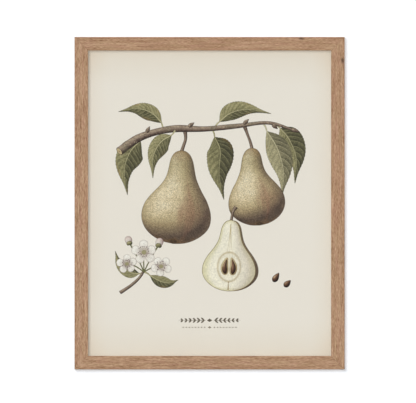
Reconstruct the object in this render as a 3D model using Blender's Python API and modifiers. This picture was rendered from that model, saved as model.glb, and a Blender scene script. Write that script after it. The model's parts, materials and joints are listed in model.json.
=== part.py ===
"""A framed print: a mitred oak picture frame with glazing, a print, its boards and what it hangs by.

Blender 4.5 script, in metres. X runs to the right as seen from the front, Y runs back towards the wall
and Z runs up. The wall is the plane Y = 0. The origin is where the wall's nail carries the hanger's
middle notch.
"""

import math

import bmesh
import bpy
from mathutils import Matrix, Vector

# The sheet that the frame is made for, 16 by 20 inches, and how far the frame's lip covers it
PRINT_WIDTH = 0.4064
PRINT_HEIGHT = 0.508
LIP_OVERLAP = 0.005

# The timber's section
FACE_WIDTH = 0.022
REBATE_WIDTH = 0.006
LIP_DEPTH = 0.006
REBATE_DEPTH = 0.012
OUTER_ARRIS = 0.0018
LIP_ARRIS = 0.0009
BACK_ARRIS = 0.0008
SHELF_ARRIS = 0.0004
MITRE_GAP = 0.0002

# The gap between neighbours that touch on the real thing
CLEARANCE = 0.0003

# The boards in the rebate, from the front to the back
GLAZING_THICKNESS = 0.002
PRINT_THICKNESS = 0.0004
MOUNT_THICKNESS = 0.005
BACKING_THICKNESS = 0.0032

# The space that the pads keep between the timber and the wall
WALL_GAP = 0.003
PAD_RADIUS = 0.005
PAD_EDGE = 0.0006
PAD_INSET = 0.008
PAD_FROM_END = 0.045

# The turn buttons that hold the boards in, and their screws
BUTTON_THICKNESS = 0.001
BUTTON_REACH = 0.020
BUTTON_PIVOT_RADIUS = 0.005
BUTTON_TIP_RADIUS = 0.0035
BUTTON_HOLE_RADIUS = 0.00175
BUTTON_INSET = 0.009
BUTTON_RIB_START = 0.0062
BUTTON_RIB_END = 0.0195
BUTTON_RIB_RADIUS = 0.0014
BUTTON_RIB_TIP_RADIUS = 0.0011
BUTTON_RIB_HEIGHT = 0.0007
SCREW_HEAD_RADIUS = 0.0032
SCREW_HEAD_THICKNESS = 0.0012
SCREW_HEAD_RIM = 0.0003
SCREW_SHANK_RADIUS = 0.0014
SCREW_LENGTH = 0.009
SCREW_POINT = 0.003
SCREW_CROSS_LENGTH = 0.0036
SCREW_CROSS_WIDTH = 0.0008
SCREW_CROSS_DEPTH = 0.0006

# The hanger is a strip with a raised middle and a row of teeth along its lower edge
TOP_ABOVE_NOTCH = 0.013
HANGER_LENGTH = 0.048
HANGER_HEIGHT = 0.012
HANGER_THICKNESS = 0.0008
HANGER_TAB = 0.0072
HANGER_STEP = 0.0015
HANGER_WALL_GAP = 0.0004
TOOTH_PITCH = 0.003
TOOTH_DEPTH = 0.002
TOOTH_TIP = 0.0004
TEETH_EACH_SIDE = 4
NAIL_FROM_END = 0.0035
NAIL_HEAD_RADIUS = 0.0019
NAIL_HEAD_THICKNESS = 0.0008
NAIL_HEAD_RIM = 0.0003
NAIL_SHANK_RADIUS = 0.0007
NAIL_LENGTH = 0.012
NAIL_POINT = 0.002

# The bent steel wedges that pull each mitre together, set into the timber's back
WEDGE_LEG = 0.0055
WEDGE_HALF_ANGLE = math.radians(50)
WEDGE_THICKNESS = 0.0006
WEDGE_DEPTH = 0.007
WEDGE_PLACES = {"outer": 0.007, "inner": 0.015}

# Fineness of round shapes, and the distance at which the points of a made mesh are joined
ARC_STEPS = 4
ROUND_STEPS = 20
WELD_DISTANCE = 0.00001
SMOOTH_ANGLE = math.radians(35)

# Sizes that follow from those above
SIGHT_WIDTH = PRINT_WIDTH - 2 * LIP_OVERLAP
SIGHT_HEIGHT = PRINT_HEIGHT - 2 * LIP_OVERLAP
OUTER_WIDTH = SIGHT_WIDTH + 2 * FACE_WIDTH
OUTER_HEIGHT = SIGHT_HEIGHT + 2 * FACE_WIDTH
REBATE_GAP = REBATE_WIDTH - LIP_OVERLAP
CENTRE_Z = TOP_ABOVE_NOTCH - OUTER_HEIGHT / 2
TIMBER_BACK = -WALL_GAP
TIMBER_FRONT = TIMBER_BACK - REBATE_DEPTH - LIP_DEPTH
SHELF_Y = TIMBER_FRONT + LIP_DEPTH
HARDWARE_Y = TIMBER_BACK + CLEARANCE

# Each side of the frame, as degrees about Y from the left stile, with its length and half its span
SIDES = {
    "left": (0, OUTER_HEIGHT, OUTER_WIDTH / 2),
    "top": (90, OUTER_WIDTH, OUTER_HEIGHT / 2),
    "right": (180, OUTER_HEIGHT, OUTER_WIDTH / 2),
    "bottom": (270, OUTER_WIDTH, OUTER_HEIGHT / 2),
}
TIMBER_NAMES = {"left": "stile_left", "top": "rail_top", "right": "stile_right", "bottom": "rail_bottom"}
BUTTON_OFFSETS = {"left": 0.140, "top": 0.110, "right": 0.140, "bottom": 0.110}
CORNERS = {"top_left": (-1, 1), "top_right": (1, 1), "bottom_right": (1, -1), "bottom_left": (-1, -1)}


def clear_scene():
    """Empties the scene and makes the collections of the parts and of what cuts them."""
    for item in list(bpy.data.objects):
        bpy.data.objects.remove(item, do_unlink=True)
    made = []
    for name in ("framed_print", "cutters"):
        group = bpy.data.collections.new(name)
        bpy.context.scene.collection.children.link(group)
        made.append(group)
    return made


def finish(name, colour, roughness, metallic=0.0, alpha=1.0):
    """A plain material with one colour."""
    material = bpy.data.materials.new(name)
    material.use_nodes = True
    shader = material.node_tree.nodes["Principled BSDF"]
    shader.inputs["Base Color"].default_value = (*colour, 1.0)
    shader.inputs["Roughness"].default_value = roughness
    shader.inputs["Metallic"].default_value = metallic
    shader.inputs["Alpha"].default_value = alpha
    return material


def rounded(corners):
    """The points of a closed outline whose corners, each (x, y, radius), are turned into arcs."""
    points = []
    for index, (x, y, radius) in enumerate(corners):
        corner = Vector((x, y))
        if radius == 0:
            points.append(corner)
            continue
        back = (Vector(corners[index - 1][:2]) - corner).normalized()
        ahead = (Vector(corners[(index + 1) % len(corners)][:2]) - corner).normalized()
        half_angle = back.angle(ahead) / 2
        centre = corner + (back + ahead).normalized() * radius / math.sin(half_angle)
        reach = radius / math.tan(half_angle)
        first = (corner + back * reach - centre).normalized()
        last = (corner + ahead * reach - centre).normalized()
        points += [centre + radius * first.slerp(last, step / ARC_STEPS) for step in range(ARC_STEPS + 1)]
    return points


def circle(radius):
    """The points of a circle about the origin."""
    angles = [2 * math.pi * step / ROUND_STEPS for step in range(ROUND_STEPS)]
    return [Vector((radius * math.cos(angle), radius * math.sin(angle))) for angle in angles]


def domed(radius, rim, height):
    """The (radius, height) points of a domed top, from its middle down to its rim."""
    angles = [math.pi / 2 * step / ARC_STEPS for step in range(ARC_STEPS + 1)]
    return [(radius * math.sin(angle), rim + (height - rim) * math.cos(angle)) for angle in angles]


def tapered_link(start_x, start_radius, end_x, end_radius):
    """The outline of two circles on the X axis and the straight lines that touch both."""
    lean = math.asin((start_radius - end_radius) / (end_x - start_x))
    outline = []
    for centre_x, radius, first, last in (
        (end_x, end_radius, lean - math.pi / 2, math.pi / 2 - lean),
        (start_x, start_radius, math.pi / 2 - lean, 3 * math.pi / 2 + lean),
    ):
        steps = ROUND_STEPS // 2
        for step in range(steps + 1):
            angle = first + (last - first) * step / steps
            outline.append(Vector((centre_x + radius * math.cos(angle), radius * math.sin(angle))))
    return outline


def worked_out(source, name):
    """Replaces an object by the welded mesh of its curve or modifiers, in the object's own axes."""
    bpy.context.view_layer.update()
    seen = source.evaluated_get(bpy.context.evaluated_depsgraph_get())
    mesh = bpy.data.meshes.new_from_object(seen)
    mesh.name = name
    bpy.data.objects.remove(source, do_unlink=True)
    shape = bmesh.new()
    shape.from_mesh(mesh)
    bmesh.ops.remove_doubles(shape, verts=shape.verts, dist=WELD_DISTANCE)
    bmesh.ops.recalc_face_normals(shape, faces=shape.faces)
    shape.to_mesh(mesh)
    shape.free()
    return mesh


def extruded(name, outlines, thickness):
    """A flat outline, with any holes, thickened evenly to both sides of its own XY plane."""
    curve = bpy.data.curves.new(name, "CURVE")
    curve.dimensions = "2D"
    curve.fill_mode = "BOTH"
    curve.extrude = thickness / 2
    for outline in outlines:
        spline = curve.splines.new("POLY")
        spline.points.add(len(outline) - 1)
        spline.use_cyclic_u = True
        for point, place in zip(spline.points, outline):
            point.co = (place.x, place.y, 0, 1)
    source = bpy.data.objects.new(name, curve)
    bpy.context.scene.collection.objects.link(source)
    return worked_out(source, name)


def turned(name, profile):
    """A profile of (radius, height) points, from the top down its outer side, turned about Z."""
    mesh = bpy.data.meshes.new(name)
    line = [(index, index + 1) for index in range(len(profile) - 1)]
    mesh.from_pydata([(radius, 0, height) for radius, height in profile], line, [])
    source = bpy.data.objects.new(name, mesh)
    bpy.context.scene.collection.objects.link(source)
    turn = source.modifiers.new("turn", "SCREW")
    turn.steps = ROUND_STEPS
    turn.render_steps = ROUND_STEPS
    turn.use_merge_vertices = True
    turn.merge_threshold = WELD_DISTANCE
    return worked_out(source, name)


def box(name, size):
    """A box about its own origin."""
    bpy.ops.mesh.primitive_cube_add(size=1)
    source = bpy.context.object
    source.data.transform(Matrix.Diagonal((*size, 1)))
    mesh = source.data
    mesh.name = name
    bpy.data.objects.remove(source, do_unlink=True)
    return mesh


def combined(name, mesh, others, operation):
    """A mesh with other meshes, each (mesh, matrix), added to it or cut from it."""
    target = bpy.data.objects.new(name, mesh)
    bpy.context.scene.collection.objects.link(target)
    helpers = []
    for other, matrix in others:
        helper = bpy.data.objects.new(name + "_helper", other)
        helper.matrix_world = matrix
        bpy.context.scene.collection.objects.link(helper)
        helpers.append(helper)
        join = target.modifiers.new(operation.lower(), "BOOLEAN")
        join.operation = operation
        join.object = helper
    made = worked_out(target, name)
    for helper in helpers:
        bpy.data.objects.remove(helper, do_unlink=True)
    return made


def put(group, name, mesh, material, place, turn=(0, 0, 0)):
    """Places a mesh as an object, with the turn in degrees about X, Y and Z."""
    item = bpy.data.objects.new(name, mesh)
    item.location = place
    item.rotation_euler = [math.radians(angle) for angle in turn]
    group.objects.link(item)
    if material and not mesh.materials:
        mesh.materials.append(material)
    mesh.shade_smooth()
    mesh.set_sharp_from_angle(angle=SMOOTH_ANGLE)
    return item


def put_cutter(group, name, mesh, place, turn=(0, 0, 0)):
    """Places a mesh that only cuts, so it isn't rendered."""
    item = put(group, name, mesh, None, place, turn)
    item.hide_render = True
    item.display_type = "WIRE"
    return item


def cut_by(item, cutters):
    """Cuts an object by every cutter that it meets."""
    cut = item.modifiers.new("cut", "BOOLEAN")
    cut.operand_type = "COLLECTION"
    cut.collection = cutters


def on_side(side, inset, along, depth):
    """The point at a distance in from a side's outer edge and along it from its middle."""
    angle = math.radians(SIDES[side][0])
    span = SIDES[side][2]
    inward = Vector((math.cos(angle), 0, -math.sin(angle)))
    onward = Vector((math.sin(angle), 0, math.cos(angle)))
    return Vector((0, depth, CENTRE_Z)) + inward * (inset - span) + onward * along


def at_corner(corner, distance, depth):
    """The point at a distance in from an outer corner along its mitre, and the mitre's angle about Y."""
    right, up = CORNERS[corner]
    step = distance / math.sqrt(2)
    place = Vector((right * (OUTER_WIDTH / 2 - step), depth, CENTRE_Z + up * (OUTER_HEIGHT / 2 - step)))
    return place, math.degrees(math.atan2(up, -right))


def timber_mesh(name, length):
    """A length of rebated moulding along its own Z, outer edge at X = 0, both ends mitred."""
    section = rounded([
        (0, TIMBER_FRONT, OUTER_ARRIS),
        (FACE_WIDTH, TIMBER_FRONT, LIP_ARRIS),
        (FACE_WIDTH, SHELF_Y, SHELF_ARRIS),
        (FACE_WIDTH - REBATE_WIDTH, SHELF_Y, 0),
        (FACE_WIDTH - REBATE_WIDTH, TIMBER_BACK, SHELF_ARRIS),
        (0, TIMBER_BACK, BACK_ARRIS),
    ])
    mesh = extruded(name, [section], length)
    shape = bmesh.new()
    shape.from_mesh(mesh)
    for end in (1, -1):
        normal = Vector((1, 0, end)).normalized()
        point = Vector((0, 0, end * length / 2)) - normal * MITRE_GAP / 2
        everything = shape.verts[:] + shape.edges[:] + shape.faces[:]
        mitre = bmesh.ops.bisect_plane(
            shape, geom=everything, dist=WELD_DISTANCE, plane_co=point, plane_no=normal, clear_outer=True
        )
        rim = [part for part in mitre["geom_cut"] if isinstance(part, bmesh.types.BMEdge)]
        bmesh.ops.edgeloop_fill(shape, edges=rim)
    bmesh.ops.recalc_face_normals(shape, faces=shape.faces)
    shape.to_mesh(mesh)
    shape.free()
    return mesh


def add_timber(parts, cutters, oak):
    """The two stiles and the two rails."""
    for side, (angle, length, _) in SIDES.items():
        name = TIMBER_NAMES[side]
        rail = put(parts, name, timber_mesh(name, length), oak, on_side(side, 0, 0, 0), (0, angle, 0))
        cut_by(rail, cutters)


def wedge_outline(leg, thickness):
    """A bent strip seen from its edge, its corner at the origin and its legs running to +X."""
    along = Vector((math.cos(WEDGE_HALF_ANGLE), math.sin(WEDGE_HALF_ANGLE)))
    across = Vector((-along.y, along.x)) * thickness / 2
    bend = Vector((thickness / 2 / math.sin(WEDGE_HALF_ANGLE), 0))
    upper = [along * leg + across, along * leg - across]
    lower = [Vector((point.x, -point.y)) for point in reversed(upper)]
    return [-bend, *upper, bend, *lower]


def add_wedges(parts, cutters, steel):
    """Two wedges across each mitre, and the slots that they sit in."""
    wedge = extruded("corner_wedge", [wedge_outline(WEDGE_LEG, WEDGE_THICKNESS)], WEDGE_DEPTH)
    slot_outline = wedge_outline(WEDGE_LEG + CLEARANCE, WEDGE_THICKNESS + 2 * CLEARANCE)
    slot_depth = WEDGE_DEPTH + 3 * CLEARANCE
    slot = extruded("wedge_slot", [slot_outline], slot_depth)
    wedge_y = TIMBER_BACK - CLEARANCE - WEDGE_DEPTH / 2
    for corner in CORNERS:
        for rank, distance in WEDGE_PLACES.items():
            place, angle = at_corner(corner, distance, wedge_y)
            turn = (90, angle, 0)
            put(parts, f"corner_wedge_{corner}_{rank}", wedge, steel, place, turn)
            place.y = wedge_y + CLEARANCE / 2
            put_cutter(cutters, f"wedge_slot_{corner}_{rank}", slot, place, turn)


def add_boards(parts, looks):
    """What lies in the rebate, standing on the bottom rail: glazing, print, mount board and backing."""
    front = SHELF_Y + CLEARANCE
    drop = REBATE_GAP - CLEARANCE
    for name, thickness in (
        ("glazing", GLAZING_THICKNESS),
        ("print_sheet", PRINT_THICKNESS),
        ("mount_board", MOUNT_THICKNESS),
        ("backing_board", BACKING_THICKNESS),
    ):
        place = (0, front + thickness / 2, CENTRE_Z - drop)
        put(parts, name, box(name, (PRINT_WIDTH, thickness, PRINT_HEIGHT)), looks[name], place)
        front += thickness + CLEARANCE


def button_mesh():
    """A turn button's plate about its pivot, pointing to +X, with a raised rib on its -Z side."""
    plate_outline = tapered_link(0, BUTTON_PIVOT_RADIUS, BUTTON_REACH, BUTTON_TIP_RADIUS)
    plate = extruded("plate", [plate_outline, circle(BUTTON_HOLE_RADIUS)], BUTTON_THICKNESS)
    rib_outline = tapered_link(BUTTON_RIB_START, BUTTON_RIB_RADIUS, BUTTON_RIB_END, BUTTON_RIB_TIP_RADIUS)
    rib = extruded("rib", [rib_outline], 2 * BUTTON_RIB_HEIGHT)
    return combined("turn_button", plate, [(rib, Matrix.Translation((0, 0, -BUTTON_THICKNESS / 2)))], "UNION")


def button_screw_mesh():
    """A round-headed screw with a cross in its head, the underside of the head at Z = 0."""
    profile = [
        *domed(SCREW_HEAD_RADIUS, SCREW_HEAD_RIM, SCREW_HEAD_THICKNESS),
        (SCREW_HEAD_RADIUS, 0),
        (SCREW_SHANK_RADIUS, 0),
        (SCREW_SHANK_RADIUS, SCREW_POINT - SCREW_LENGTH),
        (0, -SCREW_LENGTH),
    ]
    bar = box("bar", (SCREW_CROSS_LENGTH, SCREW_CROSS_WIDTH, 2 * SCREW_CROSS_DEPTH))
    bars = [
        (bar, Matrix.Translation((0, 0, SCREW_HEAD_THICKNESS)) @ Matrix.Rotation(angle, 4, "Z"))
        for angle in (math.radians(45), math.radians(135))
    ]
    return combined("button_screw", turned("screw_blank", profile), bars, "DIFFERENCE")


def pilot_mesh(name, radius, depth):
    """A round cutter that runs from its origin down to -Z, and a little above it."""
    above = 4 * CLEARANCE
    return turned(name, [(0, above), (radius, above), (radius, -depth), (0, -depth)])


def add_buttons(parts, cutters, brass, steel):
    """Two turn buttons on each side, each on a screw of its own in a pilot hole."""
    plate = button_mesh()
    screw = button_screw_mesh()
    plate_y = HARDWARE_Y + BUTTON_THICKNESS / 2
    head_y = HARDWARE_Y + BUTTON_THICKNESS + CLEARANCE
    pilot_depth = SCREW_LENGTH - (head_y - TIMBER_BACK) + CLEARANCE
    pilot = pilot_mesh("button_pilot", SCREW_SHANK_RADIUS + CLEARANCE, pilot_depth)
    for side, offset in BUTTON_OFFSETS.items():
        angle = SIDES[side][0]
        for along in (offset, -offset):
            pivot = on_side(side, BUTTON_INSET, along, plate_y)
            if side in ("left", "right"):
                end = "upper" if pivot.z > CENTRE_Z else "lower"
            else:
                end = "right" if pivot.x > 0 else "left"
            label = f"{side}_{end}"
            put(parts, f"turn_button_{label}", plate, brass, pivot, (90, angle, 0))
            pivot.y = head_y
            put(parts, f"button_screw_{label}", screw, steel, pivot, (-90, angle, 0))
            pivot.y = TIMBER_BACK
            put_cutter(cutters, f"button_pilot_{label}", pilot, pivot, (-90, 0, 0))


def hanger_mesh():
    """The hanger's strip, bent so that its middle stands off the timber, before it is cut."""
    low = 0
    high = -HANGER_WALL_GAP - HANGER_THICKNESS - HARDWARE_Y
    half = HANGER_LENGTH / 2
    bend = half - HANGER_TAB
    shoulder = bend - HANGER_STEP
    lower_side = [(-half, low), (-bend, low), (-shoulder, high), (shoulder, high), (bend, low), (half, low)]
    upper_side = [(x, y + HANGER_THICKNESS) for x, y in reversed(lower_side)]
    return extruded("sawtooth_hanger", [[Vector(point) for point in lower_side + upper_side]], HANGER_HEIGHT)


def teeth_outline():
    """The zigzag that is cut from the hanger's lower edge, its middle notch at the origin."""
    notches = range(-TEETH_EACH_SIDE, TEETH_EACH_SIDE + 1)
    half_notch = (TOOTH_PITCH - TOOTH_TIP) / 2
    zigzag = []
    for notch in notches:
        middle = notch * TOOTH_PITCH
        zigzag += [(middle - half_notch, -TOOTH_DEPTH), (middle, 0), (middle + half_notch, -TOOTH_DEPTH)]
    below = -2 * TOOTH_DEPTH
    base = [(zigzag[-1][0], below), (zigzag[0][0], below)]
    return [Vector(point) for point in zigzag + base]


def nail_mesh():
    """A hanger nail, the underside of its head at Z = 0."""
    profile = [
        *domed(NAIL_HEAD_RADIUS, NAIL_HEAD_RIM, NAIL_HEAD_THICKNESS),
        (NAIL_HEAD_RADIUS, 0),
        (NAIL_SHANK_RADIUS, 0),
        (NAIL_SHANK_RADIUS, NAIL_POINT - NAIL_LENGTH),
        (0, -NAIL_LENGTH),
    ]
    return turned("hanger_nail", profile)


def add_hanger(parts, cutters, steel):
    """The sawtooth hanger in the middle of the top rail, with its two nails and their holes."""
    middle_z = HANGER_HEIGHT / 2 - TOOTH_DEPTH
    hanger = put(parts, "sawtooth_hanger", hanger_mesh(), steel, (0, HARDWARE_Y, middle_z))
    cut_by(hanger, cutters)
    teeth = extruded("teeth", [teeth_outline()], WALL_GAP - CLEARANCE)
    put_cutter(cutters, "hanger_teeth", teeth, (0, HARDWARE_Y / 2 + CLEARANCE / 2, 0), (90, 0, 0))
    nail = nail_mesh()
    head_y = HARDWARE_Y + HANGER_THICKNESS + CLEARANCE
    hole_depth = NAIL_LENGTH - (head_y - TIMBER_BACK) + CLEARANCE
    pilot = pilot_mesh("nail_pilot", NAIL_SHANK_RADIUS + CLEARANCE, hole_depth)
    for end, sign in (("left", -1), ("right", 1)):
        x = sign * (HANGER_LENGTH / 2 - NAIL_FROM_END)
        put(parts, f"hanger_nail_{end}", nail, steel, (x, head_y, middle_z), (-90, 0, 0))
        put_cutter(cutters, f"nail_pilot_{end}", pilot, (x, TIMBER_BACK, middle_z), (-90, 0, 0))


def add_pads(parts, rubber):
    """The two round pads that keep the bottom rail off the wall."""
    height = WALL_GAP - CLEARANCE
    edge = [
        (PAD_RADIUS - PAD_EDGE + PAD_EDGE * math.sin(angle), height - PAD_EDGE + PAD_EDGE * math.cos(angle))
        for angle in [math.pi / 2 * step / ARC_STEPS for step in range(ARC_STEPS + 1)]
    ]
    pad = turned("wall_pad", [(0, height), *edge, (PAD_RADIUS, 0), (0, 0)])
    for end, sign in (("left", 1), ("right", -1)):
        place = on_side("bottom", PAD_INSET, sign * (OUTER_WIDTH / 2 - PAD_FROM_END), HARDWARE_Y)
        put(parts, f"wall_pad_{end}", pad, rubber, place, (-90, 0, 0))


def build():
    """Makes the whole framed print."""
    parts, cutters = clear_scene()
    oak = finish("oak", (0.43, 0.26, 0.16), 0.55)
    zinc = finish("zinc_plated_steel", (0.62, 0.62, 0.60), 0.35, metallic=1.0)
    brass = finish("brass_plated_steel", (0.66, 0.50, 0.24), 0.35, metallic=1.0)
    rubber = finish("rubber", (0.72, 0.71, 0.68), 0.6)
    board_looks = {
        "glazing": finish("glass", (0.9, 0.95, 0.92), 0.02, alpha=0.15),
        "print_sheet": finish("paper", (0.80, 0.75, 0.64), 0.8),
        "mount_board": finish("mount_board", (0.86, 0.85, 0.82), 0.85),
        "backing_board": finish("hardboard", (0.23, 0.13, 0.07), 0.6),
    }
    add_timber(parts, cutters, oak)
    add_wedges(parts, cutters, zinc)
    add_boards(parts, board_looks)
    add_buttons(parts, cutters, brass, zinc)
    add_hanger(parts, cutters, zinc)
    add_pads(parts, rubber)


build()
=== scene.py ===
"""The looks of the framed print: oiled oak, a botanical plate on aged paper, clear glazing and fittings.

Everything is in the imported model's frame, in metres: X to the right, Y back to the wall, Z up. The plate's
drawing, and the patterns of wood and paper, are in millimetres.
"""

import cmath
import json
import math
from functools import partialmethod

import bmesh
import bpy
import numpy as np
from mathutils import Matrix, Vector
from mathutils.geometry import delaunay_2d_cdt


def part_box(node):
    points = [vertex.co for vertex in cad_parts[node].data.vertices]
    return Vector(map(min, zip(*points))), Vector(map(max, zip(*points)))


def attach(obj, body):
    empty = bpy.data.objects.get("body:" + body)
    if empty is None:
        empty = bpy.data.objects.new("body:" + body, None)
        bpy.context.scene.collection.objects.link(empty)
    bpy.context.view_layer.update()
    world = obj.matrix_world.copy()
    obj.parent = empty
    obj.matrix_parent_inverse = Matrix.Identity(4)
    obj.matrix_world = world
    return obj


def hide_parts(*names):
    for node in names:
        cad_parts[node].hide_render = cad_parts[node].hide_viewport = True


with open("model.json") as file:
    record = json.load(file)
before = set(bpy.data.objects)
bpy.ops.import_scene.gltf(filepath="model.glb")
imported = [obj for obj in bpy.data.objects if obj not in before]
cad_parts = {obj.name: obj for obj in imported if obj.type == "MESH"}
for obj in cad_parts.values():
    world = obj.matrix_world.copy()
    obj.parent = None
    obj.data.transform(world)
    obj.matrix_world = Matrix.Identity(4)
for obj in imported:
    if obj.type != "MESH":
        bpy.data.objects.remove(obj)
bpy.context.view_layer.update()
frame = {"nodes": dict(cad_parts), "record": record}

MM = 0.001

# The photograph: its size in pixels, the object's middle in it, and the real length of one pixel
PHOTO_WIDTH = 416
PHOTO_HEIGHT = 403
PHOTO_OBJECT_MIDDLE = (209.58, 203.21)
METRES_PER_PIXEL = 0.001631

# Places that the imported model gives
OUTER_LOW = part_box("rail_bottom")[0]
RAIL_LOW, OUTER_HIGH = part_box("rail_top")
MIDDLE = Vector(((OUTER_LOW.x + OUTER_HIGH.x) / 2, 0, (OUTER_LOW.z + OUTER_HIGH.z) / 2))
HALF_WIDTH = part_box("stile_right")[1].x - MIDDLE.x
HALF_HEIGHT = OUTER_HIGH.z - MIDDLE.z
TIMBER_FRONT = RAIL_LOW.y
TIMBER_BACK = OUTER_HIGH.y
FACE_WIDTH = OUTER_HIGH.z - RAIL_LOW.z

# Each side of the frame: its timber, its turn in degrees about Y from the left stile, and half its span
SIDES = {
    "left": ("stile_left", 0, HALF_WIDTH, HALF_HEIGHT),
    "top": ("rail_top", 90, HALF_HEIGHT, HALF_WIDTH),
    "right": ("stile_right", 180, HALF_WIDTH, HALF_HEIGHT),
    "bottom": ("rail_bottom", 270, HALF_HEIGHT, HALF_WIDTH),
}


def from_photo(x, y):
    """A place in the photograph as X and Z on the object, in metres."""
    right, down = x - PHOTO_OBJECT_MIDDLE[0], y - PHOTO_OBJECT_MIDDLE[1]
    return MIDDLE.x + right * METRES_PER_PIXEL, MIDDLE.z - down * METRES_PER_PIXEL


def linear(colour):
    """sRGB numbers from 0 to 255 as linear ones from 0 to 1."""
    share = np.asarray(colour, float) / 255
    return np.where(share <= 0.04045, share / 12.92, ((share + 0.055) / 1.055) ** 2.4)


def rgba(colour):
    """An sRGB colour as the four linear numbers that a colour socket takes."""
    return (*linear(colour).tolist(), 1.0)


# Materials

class Value:
    """A shader node's output, which can be reckoned with like a number."""

    def __init__(self, recipe, socket):
        self.recipe = recipe
        self.socket = socket

    def reckon(self, operation, *others):
        return self.recipe.node("Math", (self, *others), operation=operation)

    __add__ = __radd__ = partialmethod(reckon, "ADD")
    __sub__ = partialmethod(reckon, "SUBTRACT")
    __mul__ = partialmethod(reckon, "MULTIPLY")
    __truediv__ = partialmethod(reckon, "DIVIDE")
    __pow__ = partialmethod(reckon, "POWER")
    __abs__ = partialmethod(reckon, "ABSOLUTE")

    def __rsub__(self, other):
        return self * -1 + other

    def spread(self, low, high, new_low=0.0, new_high=1.0, kind="LINEAR"):
        """The value carried from one range to another, and held at its ends."""
        return self.recipe.node("MapRange", (self, low, high, new_low, new_high), interpolation_type=kind)

    def fade(self, low, high, most):
        """The most up to a low value, easing to nothing at a high one."""
        return self.spread(low, high, most, 0.0, "SMOOTHSTEP")


def swing(base, *parts):
    """A number with patterns added, each (value from 0 to 1, how far it swings)."""
    return sum([(value - 0.5) * reach for value, reach in parts], base)


class Recipe:
    """The nodes of a material or a world, written as short calls that each return a value."""

    def __init__(self, name, kind="materials"):
        self.owner = getattr(bpy.data, kind).new(name)
        self.owner.use_nodes = True
        self.tree = self.owner.node_tree

    def feed(self, made, inputs):
        """Sets or links a node's inputs, given in their order or by their names."""
        named = inputs if isinstance(inputs, dict) else dict(enumerate(inputs))
        for key, value in named.items():
            if isinstance(value, Value):
                self.tree.links.new(value.socket, made.inputs[key])
            else:
                made.inputs[key].default_value = value

    def node(self, kind, inputs=(), output=0, **settings):
        made = self.tree.nodes.new(f"ShaderNode{kind}")
        for key, value in settings.items():
            setattr(made, key, value)
        self.feed(made, inputs)
        return Value(self, made.outputs[output])

    def place(self):
        """X, Y and Z on the object, in millimetres."""
        where = self.node("TexCoord", output="Object")
        return [self.node("SeparateXYZ", (where,), axis) / MM for axis in range(3)]

    def noise(self, place, sizes, shift=0.0, detail=2.0, roughness=0.5, distortion=0.0):
        """A pattern from 0 to 1, its marks as long as one or three lengths in millimetres."""
        scale = (1 / np.broadcast_to(sizes, 3)).tolist()
        where = (self.node("CombineXYZ", place), scale, [shift] * 3)
        inputs = {"Vector": self.node("VectorMath", where, operation="MULTIPLY_ADD"), "Scale": 1.0,
                  "Detail": detail, "Roughness": roughness, "Distortion": distortion}
        return self.node("TexNoise", inputs)

    def ramp(self, value, stops):
        """A colour read from a row of (place, sRGB colour) stops."""
        made = self.node("ValToRGB", (value,))
        marks = made.socket.node.color_ramp.elements
        while len(marks) < len(stops):
            marks.new(0.5)
        for mark, (place, colour) in zip(marks, stops):
            mark.position = place
            mark.color = rgba(colour)
        return made

    def mix(self, share, first, second, blend="MIX"):
        """Two colours mixed, the second one a value or an sRGB colour."""
        second = second if isinstance(second, Value) else rgba(second)
        return self.node("Mix", {0: share, 6: first, 7: second}, 2, data_type="RGBA", blend_type=blend)

    def surface(self, share, first, second):
        """The material, its surface mixed from two shaders."""
        both = self.node("MixShader", (share, first, second))
        self.feed(self.tree.nodes["Material Output"], {"Surface": both})
        return self.owner

    def finish(self, colour, rough, height, depth, strength=1.0, specular=0.5, metal=0.0):
        """The material, with a fine relief whose depth is in millimetres."""
        relief = self.node("Bump", {"Height": height, "Distance": depth * MM, "Strength": strength})
        inputs = {"Base Color": colour, "Roughness": rough, "Normal": relief, "Metallic": metal,
                  "Specular IOR Level": specular}
        self.feed(self.tree.nodes["Principled BSDF"], inputs)
        return self.owner


def from_edges(place, border=0.0):
    """How far in from the frame's sides and from its ends, past a border, in millimetres."""
    x, _, z = place
    from_side = (HALF_WIDTH - border) / MM - abs(x)
    from_end = (HALF_HEIGHT - border) / MM - abs(z - MIDDLE.z / MM)
    return from_side, from_end


OAK_TONES = (
    (0.10, (120, 85, 57)), (0.34, (155, 118, 87)), (0.50, (172, 136, 105)), (0.68, (187, 151, 120)),
    (0.90, (202, 169, 139)),
)
BARE_OAK_TONES = ((0.1, (156, 124, 92)), (0.5, (196, 164, 128)), (0.9, (220, 194, 160)))
OAK_ROSE = (184, 138, 118)
OAK_OLIVE = (166, 140, 100)
PORE_COLOUR = (104, 74, 52)
KNOT_COLOUR = (78, 52, 38)
# The colour that the painted shade along the frame's outer edge multiplies the wood by
EDGE_SHADE_TINT = (234, 200, 172)
GLUE_COLOUR = (96, 68, 48)

# The oak's marks: their length and width in millimetres, where in the noise they are read, and the
# noise's detail, roughness and distortion
OAK_MARKS = {
    "waves": (90, 30, 0),
    "fibres": (5.5, 0.45, 0, 1.0),
    "streaks": (27, 0.7, 3, 1.0, 0.5, 0.2),
    "bands": (70, 5, 11),
    "hue": (26, 4, 23, 1.0),
    "pores": (5.5, 0.3, 41, 1.0, 0.3),
}
WAVE_DEPTH = 5.0
TIMBER_SHIFT = 37.3

# Each knot's side, its middle, half its size along X and Z in millimetres, and how dark it is
KNOTS = (
    ("top", from_photo(301.4, 38.6), (4.6, 2.3), 0.8),
    ("right", from_photo(342.6, 60.4), (3.2, 5.2), 0.8),
    ("right", from_photo(343.5, 64.0), (1.4, 13.0), 0.4),
)
KNOT_BEND = 2.4


def knot_at(place, centre, half_size, dark):
    """How dark a knot makes a point, and how far it pushes the grain aside there, in millimetres."""
    right, up = [(part - middle / MM) / half for part, middle, half in zip(place, centre, half_size)]
    away = (right ** 2 + up ** 2) ** 0.5
    return away.fade(0.2, 1.35, dark), away.fade(0.0, 5.0, KNOT_BEND * dark)


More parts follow.
